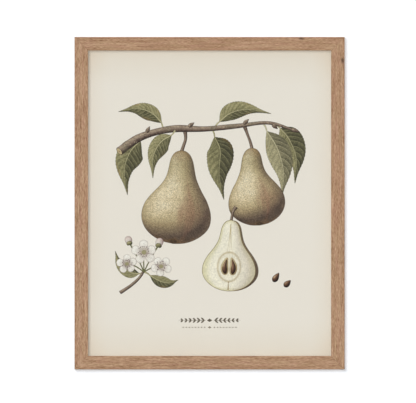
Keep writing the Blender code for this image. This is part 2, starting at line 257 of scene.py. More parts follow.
def oak(side):
    """Oiled oak with its grain along one timber, each timber from another place in the board."""
    wood = Recipe(f"oak_{side}")
    x, y, z = place = wood.place()
    along, across = (x, z) if side in ("top", "bottom") else (z, x)
    timber_shift = TIMBER_SHIFT * (1 + list(SIDES).index(side))

    def marks(kind):
        length, width, shift, *settings = OAK_MARKS[kind]
        return wood.noise((along, across, y), (length, width, width), timber_shift + shift, *settings)

    across = across + marks("waves") * WAVE_DEPTH
    knots = [knot_at((x, z), *knot) for timber, *knot in KNOTS if timber == side]
    across = sum([push for _, push in knots], across)
    fibres, hue, pores = marks("fibres"), marks("hue"), marks("pores").spread(0.62, 0.70)
    tone = swing(0.5, (fibres, 1.5), (marks("streaks"), 1.05), (marks("bands"), 0.5))
    colour = wood.ramp(tone, OAK_TONES)
    colour = wood.mix(hue.spread(0.5, 0.75, 0.0, 0.30), colour, OAK_ROSE)
    colour = wood.mix(hue.spread(0.25, 0.5, 0.26, 0.0), colour, OAK_OLIVE)
    colour = wood.mix(pores * 0.40, colour, PORE_COLOUR)
    for shade, _ in knots:
        colour = wood.mix(shade, colour, KNOT_COLOUR)
    colour = raw_behind(wood, edge_shade_and_glue(wood, place, colour), tone)
    rough = tone.spread(0.2, 0.8, 0.62, 0.5)
    return wood.finish(colour, rough, fibres * 0.5 - pores, 0.06, 0.6, specular=0.35)


def edge_shade_and_glue(wood, place, colour):
    """A painted shade along the frame's outer edge, darker and redder and weaker at the bottom, where the
    lamps shade that edge already, and the glue line of each mitre.
    """
    from_side, from_end = from_edges(place)
    less_below = place[2].spread(MIDDLE.z / MM - 1, MIDDLE.z / MM + 1, 0.3, 1.0)
    end_edge = from_end.fade(0.2, 4.6, 0.4) * less_below
    # Painted shade: a darker, redder band along the outer sides and ends, weaker at the bottom
    edge_shade = from_side.fade(0.2, 2.4, 0.3).reckon("MAXIMUM", end_edge)
    colour = wood.mix(edge_shade, colour, wood.mix(1.0, colour, EDGE_SHADE_TINT, "MULTIPLY"))
    glue = abs(from_side - from_end).spread(0.05, 0.35, 0.55, 0.0)
    return wood.mix(glue, colour, GLUE_COLOUR)


def raw_behind(wood, colour, tone):
    """Bare, paler wood on the faces that look back at the wall."""
    facing = wood.node("SeparateXYZ", (wood.node("TexCoord", output="Normal"),), 1)
    return wood.mix(facing.spread(0.4, 0.8), colour, wood.ramp(tone, BARE_OAK_TONES))


PAPER_TONES = (
    (0.0, (232, 225, 215)), (0.35, (229, 220, 207)), (0.60, (226, 214, 198)), (1.0, (215, 204, 187)),
)
PAPER_LIGHT = 1.015

# How far in from its visible sides and ends the paper has aged, in millimetres, and how much at the edge
AGED_SIDES = (34, 0.30)
AGED_ENDS = (58, 0.46)


def printed_paper():
    """Aged cream paper, darker to its edges, with the plate's inks and their fine stipple."""
    sheet = Recipe("printed_paper")
    place = sheet.place()
    reaches = zip(from_edges(place, FACE_WIDTH), (AGED_SIDES, AGED_ENDS))
    age = sum([inset.spread(0, reach, most, 0.0) for inset, (reach, most) in reaches])
    paper = sheet.ramp(swing(age, (sheet.noise(place, 45), 0.10)), PAPER_TONES)
    pulp = sheet.noise(place, 2.2, 0.0, 3.0, 0.6)
    dots = sheet.noise(place, 0.55, 0.0, 1.0).spread(0.42, 0.58)
    stipple = swing(0.0, (dots, 0.36), (sheet.noise(place, 1.6, 17.0, 1.0), 1.4))
    ink = sheet.node("Attribute", output="Color", attribute_name=INK_LAYER)
    grain = sheet.node("Attribute", output="Alpha", attribute_name=INK_LAYER)
    level = swing(PAPER_LIGHT, (pulp, 0.03)) * (stipple * grain + 1.0)
    colour = sheet.mix(1.0, sheet.mix(1.0, paper, ink, "MULTIPLY"), level, "MULTIPLY")
    return sheet.finish(colour, 0.9, pulp, 0.03, 0.4, specular=0.15)


# How much light the glazing throws back straight on, and how much more at a glance
GLOSS_AHEAD = 0.015
GLOSS_ASIDE = 0.5


def clear_glass():
    """Thin clear glazing: what is behind it shows, and a little light is thrown back."""
    glass = Recipe("clear_glass")
    aside = glass.node("LayerWeight", {"Blend": 0.5}, "Facing")
    see = glass.node("BsdfTransparent", {"Color": (0.985, 0.99, 0.985, 1)})
    rough = glass.noise(glass.place(), 60, 0.0, 1.0).spread(0.3, 0.7, 0.015, 0.04)
    throw = glass.node("BsdfGlossy", {"Color": (1, 1, 1, 1), "Roughness": rough})
    return glass.surface(aside ** 5.0 * GLOSS_ASIDE + GLOSS_AHEAD, see, throw)


def speckled(name, dark, light, size, rough, metal=0.0, relief=0.01, grain=(1, 1, 1)):
    """A finish that wavers between two colours, with a fine relief, its pattern stretched by a grain."""
    made = Recipe(name)
    place, sizes = made.place(), size * np.array(grain)
    broad = made.noise(place, 6 * sizes)
    fine = made.noise(place, sizes, 9.0, 3.0, 0.6)
    colour = made.ramp(swing(0.5, (broad, 1.0), (fine, 1.4)), ((0.15, dark), (0.85, light)))
    return made.finish(colour, broad.spread(0.3, 0.7, *rough), fine, relief, metal=metal)


HARDBOARD_TONES = ((0.1, (92, 64, 44)), (0.5, (124, 90, 62)), (0.9, (158, 122, 88)))

# How far the screen's weave turns in each millimetre, in radians
SCREEN_TURN = 4.2


def hardboard():
    """Brown hardboard, its back printed with the fine weave of the screen it was pressed on."""
    board = Recipe("hardboard")
    x, y, z = board.place()
    fibre = board.noise((x, y, z), (1.1, 1.1, 0.8), 0.0, 3.0, 0.65)
    broad = board.noise((x, y, z), (34, 34, 26))
    weave = sum([(part * SCREEN_TURN).reckon("SINE") for part in (x, z)])
    colour = board.ramp(swing(0.5, (fibre, 1.3), (broad, 0.2)) + weave * 0.05, HARDBOARD_TONES)
    return board.finish(colour, 0.68, fibre * 1.5 + weave, 0.12, 0.7)


# The plate's drawing, in millimetres from the middle of the sheet: a point is a complex number, its real part
# to the right and its imaginary part up

INK_LAYER = "ink"
CLOUD_CELLS = 64
PLATE_SPACING = 1.3
JOIN_DISTANCE = 0.004
LEAST_EDGE = 5 * JOIN_DISTANCE
LIGHT_ASIDE = -0.42 + 0.52j
LIGHT_AHEAD = 0.74
LIGHT_LENGTH = math.hypot(abs(LIGHT_ASIDE), LIGHT_AHEAD)

# Where there is no ink: what it multiplies the paper by, and its strength of grain
BARE = (1.0, 1.0, 1.0, 0.0)

# A strip's steps, and the least half width and the steepest slope that it is reckoned with
STRIP_STEPS = 121
LEAST_WIDTH = 0.05
STEEPEST = 3

# As good as on the middle line of a leaf or petal, and of a cut pear, in shares of the half width
NEAR_MIDDLE = 0.001
NEAR_CORE = 0.0001

LEAF_TONES = (
    (0.0, (62, 60, 46)), (0.3, (92, 89, 65)), (0.55, (125, 120, 87)), (0.8, (157, 150, 112)),
    (1.0, (188, 180, 143)),
)
PALE_LEAF_TONES = (
    (0.0, (92, 88, 69)), (0.3, (124, 118, 92)), (0.55, (154, 147, 115)), (0.8, (179, 171, 138)),
    (1.0, (202, 195, 163)),
)
BARK_TONES = (
    (0.0, (52, 42, 38)), (0.3, (84, 69, 61)), (0.55, (116, 98, 86)), (0.8, (150, 132, 114)),
    (1.0, (182, 166, 144)),
)
SKIN_TONES = (
    (0.0, (76, 63, 55)), (0.18, (102, 86, 72)), (0.38, (130, 113, 89)), (0.58, (157, 139, 107)),
    (0.76, (182, 165, 130)), (0.90, (205, 189, 156)), (1.0, (222, 210, 182)),
)
PETAL_TONES = (
    (0.0, (140, 122, 120)), (0.35, (184, 172, 166)), (0.7, (218, 211, 202)), (1.0, (238, 234, 226)),
)
PIP_TONES = ((0.0, (36, 25, 21)), (0.6, (78, 54, 42)), (0.9, (122, 90, 68)), (1.0, (184, 156, 126)))
CHAMBER_TONES = ((0.0, (138, 116, 84)), (0.8, (204, 186, 146)))
PEAR_EDGE = (92, 78, 62)
GRIT_COLOUR = (150, 130, 92)

# Each thing's width from end to end, as shares of its half width
LEAF_SHAPE = (0.03, 0.60, 0.93, 1.0, 0.86, 0.52, 0.17, 0.0)
PEAR_SHAPE = (0.66, 0.56, 0.50, 0.52, 0.65, 0.85, 1.03, 1.17, 1.28, 1.34, 1.36)
PETAL_SHAPE = (0.30, 0.55, 0.85, 1.05, 1.2, 1.3)
BUD_SHAPE = (0.7, 0.95, 1.1, 1.15)
BRANCH_SHAPE = (1.05, 0.98, 0.80, 0.86, 0.62, 0.60, 0.42, 0.36, 0.22)
STEM_SHAPE = (1.5, 1.0, 0.85, 0.9, 1.0, 1.4)


def tones(value, stops):
    """sRGB colours read from a row of (place, colour) stops."""
    places, colours = zip(*stops)
    return np.stack([np.interp(value, places, part) for part in zip(*colours)], -1)


def blended(colours, *parts):
    """Each point's colour with others laid over it, each (how much of it, colour)."""
    for share, colour in parts:
        share = np.clip(share, 0, 1)[:, None]
        colours = colours * (1 - share) + share * colour
    return colours


def eased(value, low, high):
    """0 below low, 1 above high, and a smooth step between."""
    share = np.clip((value - low) / (high - low), 0, 1)
    return share * share * (3 - 2 * share)


def cloud(points, size, seed):
    """Random values from -1 to 1 that change smoothly, over squares of a size in millimetres."""
    values = np.random.default_rng(seed).uniform(-1, 1, (CLOUD_CELLS, CLOUD_CELLS))
    place = np.stack([points.real, points.imag]) / size + CLOUD_CELLS + 0.5
    column, row = np.floor(place).astype(int)
    right, up = eased(place % 1, 0, 1)
    total = 0
    for i, beside in ((0, 1 - right), (1, right)):
        for j, above in ((0, 1 - up), (1, up)):
            total += beside * above * values[(column + i) % CLOUD_CELLS, (row + j) % CLOUD_CELLS]
    return total


def smooth_line(controls, count):
    """A smooth curve through its controls, as values spaced evenly from control to control."""
    padded = [2 * controls[0] - controls[1], *controls, 2 * controls[-1] - controls[-2]]
    where = np.linspace(0, len(controls) - 1, count)
    first = np.minimum(where.astype(int), len(controls) - 2)
    part = where - first
    before, start, end, after = (np.take(padded, first + step) for step in range(4))
    bend = 2 * before - 5 * start + 4 * end - after
    turn = 3 * start - before - 3 * end + after
    return start + 0.5 * part * (end - before + part * (bend + part * turn))


def heading(degrees):
    """A step of one millimetre at an angle from the right."""
    return cmath.rect(1, math.radians(degrees))


class Strip:
    """A curved line with a width: a leaf, a stem, a fruit or a petal."""

    def __init__(self, controls, half_width, shape, blunt=False, lean=1.0):
        """Shape is the width from end to end, blunt closes both ends, and lean scales the right side."""
        self.line = smooth_line(controls, STRIP_STEPS)
        self.share = np.linspace(0, 1, STRIP_STEPS)
        self.width = half_width * np.maximum(smooth_line(shape, STRIP_STEPS), 0)
        if blunt:
            self.width *= np.sqrt(4 * self.share * (1 - self.share))
        step = np.gradient(self.line)
        self.pace = abs(step) * (STRIP_STEPS - 1)
        self.heading = step / abs(step)
        self.slope = np.gradient(self.width) / abs(step)
        self.lean = lean

    def read(self, table, along):
        return np.interp(along, self.share, table)

    def at(self, along, across=0.0, out=0.0):
        """Points by their share along the line and across it, 1 at the left edge and -1 at the right."""
        side = np.where(across > 0, 1.0, self.lean)
        width = self.read(self.width, along) * side * across + np.sign(across) * out
        return self.read(self.line, along) + 1j * self.read(self.heading, along) * width

    def outline(self, count):
        along = (1 - np.cos(np.linspace(0, math.pi, count))) / 2
        points = np.concatenate([self.at(along, 1.0), self.at(along[::-1], -1.0)])
        return points[abs(points - np.roll(points, 1)) > LEAST_EDGE]

    def find(self, points):
        """The share along and across of points that lie on the strip."""
        nearest = abs(points[:, None] - self.line).argmin(1)
        offset = (points - self.line[nearest]) / self.heading[nearest]
        along = self.share[nearest] + offset.real / self.pace[nearest]
        across = offset.imag / np.maximum(self.width[nearest], LEAST_WIDTH)
        across = np.where(across > 0, across, across / self.lean)
        return np.clip(along, 0, 1), np.clip(across, -1, 1)

    def glow(self, along, across):
        """How brightly the light from the upper left falls on the strip as a rounded body."""
        slope = np.clip(self.read(self.slope, along), -STEEPEST, STEEPEST)
        tilt = self.read(self.heading, along) * (1j * across - slope)
        light = (tilt * LIGHT_ASIDE.conjugate()).real + np.sqrt(1 - across ** 2) * LIGHT_AHEAD
        return np.clip(light / LIGHT_LENGTH / np.sqrt(1 + slope ** 2), 0, 1)


def grown(outline, width):
    """An outline moved outwards by a width."""
    step = np.roll(outline, -1) - np.roll(outline, 1)
    area = (outline.conjugate() * np.roll(outline, -1)).imag.sum()
    return outline - 1j * step / np.maximum(abs(step), 1e-6) * math.copysign(width, area)


def ellipse(middle, radii, count, turn=0.0):
    angles = np.linspace(0, 2 * math.pi, count, endpoint=False)
    return middle + (radii[0] * np.cos(angles) + 1j * radii[1] * np.sin(angles)) * heading(turn)


class Plate:
    """Layers from back to front, each an outline, its ink and the strength of its grain."""

    def __init__(self):
        self.layers = []

    def lay(self, outline, ink, grain=1.0, edge=None, width=0.3):
        """Ink is a colour or a function from points to colours, and edge a colour for a thin line round it."""
        if edge is not None:
            self.lay(grown(outline, width), edge, grain)
        self.layers.append((outline, ink, grain))

    def lay_strip(self, controls, half_width, shape, ink, grain=0.3, count=8, edge=None, width=0.2):
        self.lay(Strip(controls, half_width, shape).outline(count), ink, grain, edge, width)


def body_ink(body, palette, seed, low=0.1, high=0.75, mottle=0.08):
    """A rounded body's shading with a light mottle."""
    def ink(points):
        return tones(low + high * body.glow(*body.find(points)) + mottle * cloud(points, 2.2, seed), palette)
    return ink


# A leaf's side ribs: where along the midrib the first starts, the share of it that they start over, and how
# much less the last ones bend towards the tip
RIBS_FROM = 0.08
RIBS_OVER = 0.8
RIBS_STRAIGHTEN = 0.4


def rib_lift(reach):
    """How far towards the tip a leaf's side rib has bent at a share of the way to the edge."""
    return 0.20 * reach ** 1.3


def leaf_ink(leaf, seed, light_side, tone, ribs, palette):
    """A leaf's blade: one half lit, the panels between the ribs swelling, the edge touched with rust."""
    def ink(points):
        along, across = leaf.find(points)
        reach = abs(across)
        lift = rib_lift(reach)
        panel = ((along - lift) / (1 - RIBS_STRAIGHTEN * lift) - RIBS_FROM) / RIBS_OVER * ribs
        value = 0.44 + tone + 0.13 * light_side * np.sign(across) * eased(reach, 0, 0.15)
        value += 0.10 * np.sin(2 * math.pi * panel) * eased(reach, 0.02, 0.3) + 0.12 * light_side * across
        value += 0.09 * cloud(points, 9, seed) + 0.06 * cloud(points, 3, seed + 1)
        value -= 0.10 * np.exp(-reach / 0.08) + 0.10 * eased(along, 0.75, 1.0)
        rust = eased(cloud(points, 14, seed + 2), 0.35, 0.9) * eased(reach, 0.5, 1.0)
        return blended(tones(value, palette), (0.45 * rust, (142, 112, 70)))
    return ink


def toothed(leaf, teeth, half_width):
    """A leaf's outline with fine forward teeth."""
    notch = (np.arange(teeth) + 0.15) / teeth
    tip = notch + 0.72 / teeth
    out = 0.045 * half_width * np.sin(math.pi * tip) ** 0.5
    left, right = (np.ravel([leaf.at(notch, side), leaf.at(tip, side, out)], "F") for side in (1, -1))
    return np.hstack([leaf.at(0, 0.5), left, leaf.line[-1], right[::-1], leaf.at(0, -0.5)])


def draw_leaf(plate, foot, steps, half_width, seed, light_side=1, lean=1.0, tone=0.0, palette=LEAF_TONES,
              ribs=8, teeth=24):
    """A leaf on its stalk: steps are the blade's midrib, from its base to its tip, measured from the foot."""
    base = foot + steps[0]
    leaf = Strip(foot + np.array(steps), half_width, LEAF_SHAPE, lean=lean)
    dark, rib, vein = (tones(level + tone, palette) for level in (0.1, 0.9, 0.74))
    stalk = [foot, foot + steps[0] * (0.5 + 0.08j), base, leaf.line[8]]
    plate.lay_strip(stalk, 1.0, (1.5, 1.0, 0.85, 0.8), rib, 0.6, 12, dark)
    ink = leaf_ink(leaf, seed, light_side, tone, ribs, palette)
    plate.lay(toothed(leaf, teeth, half_width), ink, edge=dark)
    reach = np.linspace(NEAR_MIDDLE, 0.93, 6)
    for side in (1, -1):
        for start in RIBS_FROM + RIBS_OVER * np.arange(ribs) / ribs:
            along = np.minimum(start + rib_lift(reach) * (1 - RIBS_STRAIGHTEN * start), 1)
            plate.lay_strip(leaf.at(along, side * reach), 0.30, (1.0, 0.8, 0.3), vein, 0.4, 7)
    plate.lay_strip(leaf.line[:-4:12], 0.75, (1.0, 0.8, 0.5, 0.15), rib, 0.4, 16)


def draw_stem(plate, controls, half_width, shape=STEM_SHAPE):
    stem = Strip(controls, half_width, shape)
    plate.lay(stem.outline(22), body_ink(stem, BARK_TONES, 5), edge=(64, 52, 46), width=0.25)


def draw_tip_bud(plate, base, step, half_width, seed):
    """A pointed brown bud with the edges of two scales."""
    bud = Strip([base, base + step], half_width, (0.85, 1.2, 0.75, 0.0))
    plate.lay(bud.outline(16), body_ink(bud, BARK_TONES, seed, 0.15), edge=(58, 47, 42))
    for start, side in ((0.12, 0.9), (0.34, -0.85)):
        scale = [bud.at(start, -side), bud.at(start + 0.16, 0.01), bud.at(start + 0.34, side)]
        plate.lay_strip(scale, 0.22, (0.3, 1.0, 0.4), (70, 56, 48))


def pear_body(top, bottom, radius, bend=0.0, lean=1.0):
    share = np.linspace(0, 1, 7)
    axis = top + (bottom - top) * (share + 2j * bend * share * (1 - share) ** 2)
    return Strip(axis, radius, PEAR_SHAPE, blunt=True, lean=lean)


def skin_ink(body, seed):
    """A pear's skin: olive-tan, lit from the upper left, with a mauve-brown blush and russet at both ends."""
    def ink(points):
        along, across = body.find(points)
        value = 0.06 + 0.90 * body.glow(along, across) + 0.10 * eased(across, 0.80, 1.0)
        value += 0.035 * cloud(points, 11, seed) + 0.03 * cloud(points, 3.5, seed + 1)
        streak = cloud(across * 46 + along * 14j, 4, seed + 2)
        blush = 0.9 - abs(across - 0.38) * 1.5 - abs(along - 0.66) * 1.9 + 0.22 * streak
        russet = eased(0.15 - along + 0.03 * cloud(points, 6, seed + 3), 0.0, 0.16)
        russet = np.maximum(russet, eased(along - 0.90 + 0.03 * cloud(points, 6, seed + 4), 0.0, 0.1))
        return blended(
            tones(value, SKIN_TONES),
            (0.42 * eased(blush, 0.05, 0.8), (132, 92, 76)),
            (0.24 * eased(0.5 - along, 0.0, 0.4), (132, 127, 92)),
            (0.45 * russet, (122, 92, 62)),
        )
    return ink


def draw_freckles(plate, body, count, seed):
    """The skin's small pores, closer together and narrower towards the edges."""
    draw = np.random.default_rng(seed)
    for _ in range(count):
        along, turn, size = draw.uniform(0.06, 0.95), draw.uniform(-1.35, 1.35), draw.uniform(0.28, 0.6)
        across = math.sin(turn)
        colour = tones(0.62 * body.glow(along, across), SKIN_TONES) * (0.98, 0.90, 0.82)
        radii = (size * max(math.cos(turn), 0.3), size)
        plate.lay(ellipse(body.at(along, 0.98 * across), radii, 6), colour, 0.2)


def draw_calyx(plate, middle, size, turn, seed):
    """The dried flower at a pear's foot: a dark eye and its sepals."""
    plate.lay(ellipse(middle, (size * 1.5, size * 0.62), 22, turn), (96, 76, 56), 0.8)
    plate.lay(ellipse(middle, (size * 0.95, size * 0.42), 18, turn), (72, 56, 43), 0.6)
    draw = np.random.default_rng(seed)
    for number in range(6):
        way = heading(turn + 180 * (number + 0.5) / 6 + 180) * size * draw.uniform(0.9, 1.2)
        end = middle + complex(way.real, 0.62 * way.imag)
        path = [middle, (middle + end) / 2 + 0.4, end]
        plate.lay_strip(path, size * 0.2, (0.7, 1.0, 0.0), (62, 48, 38), 0.4, 8, (104, 86, 62))


def draw_pear(plate, top, bottom, radius, bend, seed, lean=1.0, freckles=200):
    body = pear_body(top, bottom, radius, bend, lean)
    plate.lay(body.outline(60), skin_ink(body, seed), edge=PEAR_EDGE)
    draw_freckles(plate, body, freckles, seed)
    draw_calyx(plate, body.at(0.975), radius * 0.125, np.angle(1j * body.heading[-1], deg=True), seed)


CORE_MIDDLE = 0.66
CORE_RADII = (0.205, 0.46)
GRITS = 70


def flesh_ink(face, radius, seed):
    """A cut pear's flesh: pale, greener under the skin, with a gritty ring round the core."""
    def ink(points):
        along, across = face.find(points)
        rim, near_end = abs(across), np.minimum(along, 1 - along)
        flat = across * face.read(face.width, along) / radius
        away = np.hypot((along - CORE_MIDDLE) / CORE_RADII[0], flat / CORE_RADII[1])
        colours = blended(
            np.array((232, 226, 208)),
            (0.8 * eased(rim, 0.66, 1.0), (206, 199, 160)),
            (0.7 * eased(0.07 - near_end, 0.0, 0.07), (204, 196, 158)),
            (0.50 * (1 - eased(away, 0.2, 1.0)), (204, 190, 158)),
            (0.60 * np.exp(-((away - 1) / 0.07) ** 2), (178, 160, 124)),
            (0.38 * eased(across, 0.1, 1.0), (166, 150, 138)),
        )
        light = 1 + 0.022 * cloud(points, 7, seed) + 0.02 * cloud(points, 2.4, seed + 1)
        return colours * light[:, None]
    return ink


def draw_core(plate, face, radius, seed):
    """The threads from stalk to core, the gritty ring, and two chambers with a pip in each."""
    thread = np.linspace(0.05, CORE_MIDDLE - CORE_RADII[0] * 0.95, 6)
    for lean in (-0.32, 0.0, 0.32):
        path = face.at(thread, lean * thread + NEAR_CORE)
        plate.lay_strip(path, 0.35, (1.2, 0.9, 0.6), (188, 172, 134))
    path = face.at(np.linspace(CORE_MIDDLE + CORE_RADII[0], 0.985, 4), NEAR_CORE)
    plate.lay_strip(path, 0.8, (0.6, 0.8, 1.5), (150, 128, 92))
    draw = np.random.default_rng(seed)
    for number in range(GRITS):
        angle = 2 * math.pi * (number + draw.uniform(-0.3, 0.3)) / GRITS
        far = draw.uniform(0.97, 1.09)
        along = CORE_MIDDLE + CORE_RADII[0] * far * math.sin(angle)
        across = CORE_RADII[1] * far * math.cos(angle) * radius / face.read(face.width, along)
        plate.lay(ellipse(face.at(along, across), (0.42, 0.34), 6, draw.uniform(0, 90)), GRIT_COLOUR, 0.2)
    for side in (-1, 1):
        start, end = face.at(CORE_MIDDLE - 0.13, side * 0.10), face.at(CORE_MIDDLE + 0.113, side * 0.135)
        middle = (start + end) / 2 + side * 2.6
        pocket = Strip([start, middle, end], 5.4, (0.55, 0.85, 1.15, 1.3), blunt=True)
        plate.lay(pocket.outline(18), body_ink(pocket, CHAMBER_TONES, seed), 0.4, (158, 138, 100), 0.45)
        path = [start + side * 0.9 - 2.8j, middle - 0.6j, end + side * 0.1 + 1.6j]
        draw_pip(plate, path, 3.5, (0.45, 0.75, 1.2, 1.35), seed, 16, (40, 28, 24), 0.2)


def draw_pip(plate, path, half_width, shape, seed, count, edge, width):
    pip = Strip(path, half_width, shape, blunt=True)
    plate.lay(pip.outline(count), body_ink(pip, PIP_TONES, seed, 0.0, 1.0, 0.03), 0.5, edge, width)


def draw_half_pear(plate, top, bottom, radius, seed):
    back = pear_body(top + 2.5, bottom + 3.5 - 0.5j, radius + 1.8)
    plate.lay(back.outline(60), skin_ink(back, seed), edge=PEAR_EDGE)
    face = pear_body(top, bottom, radius)
    plate.lay(face.outline(60), flesh_ink(face, radius, seed), 0.45, (122, 106, 66), 0.75)
    draw_core(plate, face, radius, seed)


def draw_petal(plate, base, tip, half_width, seed, tone):
    petal = Strip([base, tip], half_width, PETAL_SHAPE, blunt=True)

    def ink(points):
        along, across = petal.find(points)
        value = 0.42 + tone + 0.5 * eased(along, 0.0, 0.75) - 0.16 * eased(abs(across), 0.6, 1.0)
        value += 0.10 * (petal.glow(along, across) - 0.7) + 0.05 * cloud(points, 2.5, seed)
        value -= 0.14 * eased(along, 0.88, 1.0)
        return blended(tones(value, PETAL_TONES), (0.35 * (1 - eased(along, 0.0, 0.45)), (170, 150, 126)))

    plate.lay(petal.outline(26), ink, 0.35, (134, 118, 110))
    for lean in (-0.45, -0.2, NEAR_MIDDLE, 0.2, 0.45):
        path = petal.at(np.linspace(0.12, 0.80 - abs(lean) * 0.3, 4), lean)
        plate.lay_strip(path, 0.13, (1.2, 1.0, 0.4), (188, 176, 166), 0.2, 5)


STAMENS = 17


def draw_blossom(plate, middle, radius, turn, tilt, seed):
    """Five petals, a green eye and its stamens, tilted back so that the height is a share of the width."""
    draw = np.random.default_rng(seed)
    for number in range(5):
        angle = math.radians(turn + 72 * number) + draw.uniform(-0.08, 0.08)
        way = complex(math.cos(angle), math.sin(angle) * tilt)
        half_width = radius * 0.34 * (0.55 + 0.45 * abs(way))
        base, tip = middle + way * radius * 0.06, middle + way * radius * draw.uniform(0.94, 1.05)
        draw_petal(plate, base, tip, half_width, seed + number, 0.06 * (0.8 * way.imag - 0.6 * way.real))
    eye = (radius * 0.17, radius * 0.17 * tilt)
    plate.lay(ellipse(middle, eye, 14), (150, 146, 104), 0.4, (112, 104, 74))
    for number in range(STAMENS):
        angle = 2 * math.pi * (number + draw.uniform(-0.3, 0.3)) / STAMENS
        way = complex(math.cos(angle), math.sin(angle) * tilt)
        end = middle + way * radius * draw.uniform(0.30, 0.52) + 0.06j * radius
        path = [middle, (middle + end) / 2 + 0.3 + 0.3j, end]
        plate.lay_strip(path, 0.16, (1.0, 1.0), (158, 148, 118), 0.2, 4)
        plate.lay(ellipse(end, (0.9, 0.58), 8, draw.uniform(0, 180)), (92, 62, 70), 0.2, (70, 48, 54), 0.12)


def draw_bud(plate, base, tip, half_width, seed):
    bud = Strip([base, tip], half_width, BUD_SHAPE, blunt=True)

    def ink(points):
        along, across = bud.find(points)
        colours = tones(0.1 + 0.85 * bud.glow(along, across), PETAL_TONES)
        return blended(colours, (0.35 * eased(along, 0.3, 1.0), (160, 118, 112)))

    plate.lay(bud.outline(18), ink, 0.4, (126, 104, 98))
    cup = Strip([base, bud.at(0.42)], half_width * 0.8, (0.8, 1.1, 0.5))
    plate.lay(cup.outline(10), body_ink(cup, LEAF_TONES, seed), 0.5, (64, 64, 44))


# The branch's line and its half width, the shares along it where buds sit, the side of each and its turn,
# its pores, and its sawn end: half its thickness and half its height, and its rings as shares of that
BRANCH_LINE = (-148+84j, -112+108j, -62+121j, -8+121j, 46+126j, 96+131j, 138+119j)
BRANCH_HALF_WIDTH = 6.4
BRANCH_BUDS = ((0.205, 1, 42), (0.42, 1, 38), (0.70, 1, 36), (0.86, -1, -30))
BRANCH_PORES = 46
SAWN_END = (3.3, 7.0)
SAWN_RINGS = (
    (1.0, (70, 56, 46)), (0.86, (186, 168, 130)), (0.60, (168, 148, 110)), (0.52, (192, 174, 136)),
    (0.26, (166, 146, 108)), (0.17, (120, 96, 70)),
)


def draw_branch(plate, branch):
    """The fruiting branch: bark with rings and pores, a sawn end, and buds at its joints."""
    def bark(points):
        along, across = branch.find(points)
        value = 0.10 + 0.78 * branch.glow(along, across) + 0.06 * cloud(points, 1.8, 62)
        value += 0.07 * cloud(along * 110 + across * 5j, 2.0, 61)
        value -= 0.12 * eased(np.sin(along * 150 + 3 * cloud(points, 20, 63)), 0.93, 1.0)
        lichen = 0.25 * eased(cloud(points, 12, 64), 0.2, 0.8)
        return blended(tones(value, BARK_TONES), (lichen, (116, 116, 92)))

    plate.lay(branch.outline(70), bark, edge=(56, 46, 41), width=0.35)
    draw = np.random.default_rng(65)
    for _ in range(BRANCH_PORES):
        pore = branch.at(draw.uniform(0.03, 0.93), draw.uniform(-0.7, 0.8))
        radii = (0.9 * draw.uniform(0.5, 1), 0.34)
        plate.lay(ellipse(pore, radii, 8, draw.uniform(60, 130)), (188, 172, 146), 0.2)
    for scale, colour in SAWN_RINGS:
        plate.lay(ellipse(branch.at(0.004), [scale * radius for radius in SAWN_END], 24, 37), colour, 0.5)
    for share, side, turn in BRANCH_BUDS:
        way = branch.heading[int(share * STRIP_STEPS)] * heading(turn)
        draw_tip_bud(plate, branch.at(share, 0.7 * side), way * 11, 2.6, 66)
    draw_tip_bud(plate, branch.at(0.985), branch.heading[-1] * 13, 2.6, 67)


# The twig of blossom: its fork, where its flower stalks end, and each blossom's middle, radius, turn in
# degrees and tilt
FORK = -107-112j
STALK_ENDS = (-108-82j, -80-102j, -134-98j, -84-70j, -130-66j)
BLOSSOMS = ((-135-99j, 17, 20, 0.86), (-79-103j, 17.5, 50, 0.90), (-107-80j, 20, 95, 0.95))


def draw_sprig(plate):
    """A twig of blossom with two young leaves."""
    young = {"ribs": 6, "teeth": 16}
    draw_leaf(plate, FORK, (-8-3j, -24+0j, -40+14j, -47+34j), 9.5, 301, tone=0.02, **young)
    draw_leaf(plate, FORK, (10-6j, 26-15j, 42-18j, 56-13j), 9.0, 302, **young)
    draw_stem(plate, (-146-146j, -128-134j, -114-121j, -106-108j), 2.1, (1.3, 1.1, 1.0, 0.9, 0.9))
    for end in STALK_ENDS:
        path = [FORK, (FORK + end) / 2 + 2j, end]
        plate.lay_strip(path, 0.8, (1.0, 1.0, 1.3), (108, 108, 72), 0.4, 10, (72, 72, 50))
    draw_bud(plate, -84-72j, -80-57j, 5.8, 11)
    draw_bud(plate, -130-68j, -134-54j, 5.4, 12)
    for number, blossom in enumerate(BLOSSOMS):
        draw_blossom(plate, *blossom, 401 + number)


# The ornament's two rows: how high each stands, its colour, and its lozenge's half width and half height
LEAF_ROW = (-191j, (104, 95, 82), (4.4, 2.8))
DOT_ROW = (-202.5j, (146, 137, 121), (3.2, 1.9))


def draw_ornament(plate):
    """A row of small leaves over a row of dots, each with a lozenge in its middle, below the drawing."""
    for level, tone, radii in (LEAF_ROW, DOT_ROW):
        plate.lay(ellipse(level, radii, 4), tone, 0.3)
    for side in (-1, 1):
        level, tone, _ = LEAF_ROW
        plate.lay_strip([side * 7.0 + level, side * 51 + level], 0.42, (1.0, 0.8, 0.3), tone)
        for number in range(6):
            foot = side * (8.5 + 7.0 * number) + level
            for turn in (-38, 38):
                tip = foot + side * (7.4 - 0.5 * number) * heading(turn)
                plate.lay_strip([foot, tip], 1.2, (0.3, 1.0, 1.0, 0.0), tone, 0.3, 7)
        level, tone, _ = DOT_ROW
        for number in range(8):
            plate.lay(ellipse(side * (8.0 + 5.0 * number) + level, (1.3, 1.05), 8), tone, 0.3)


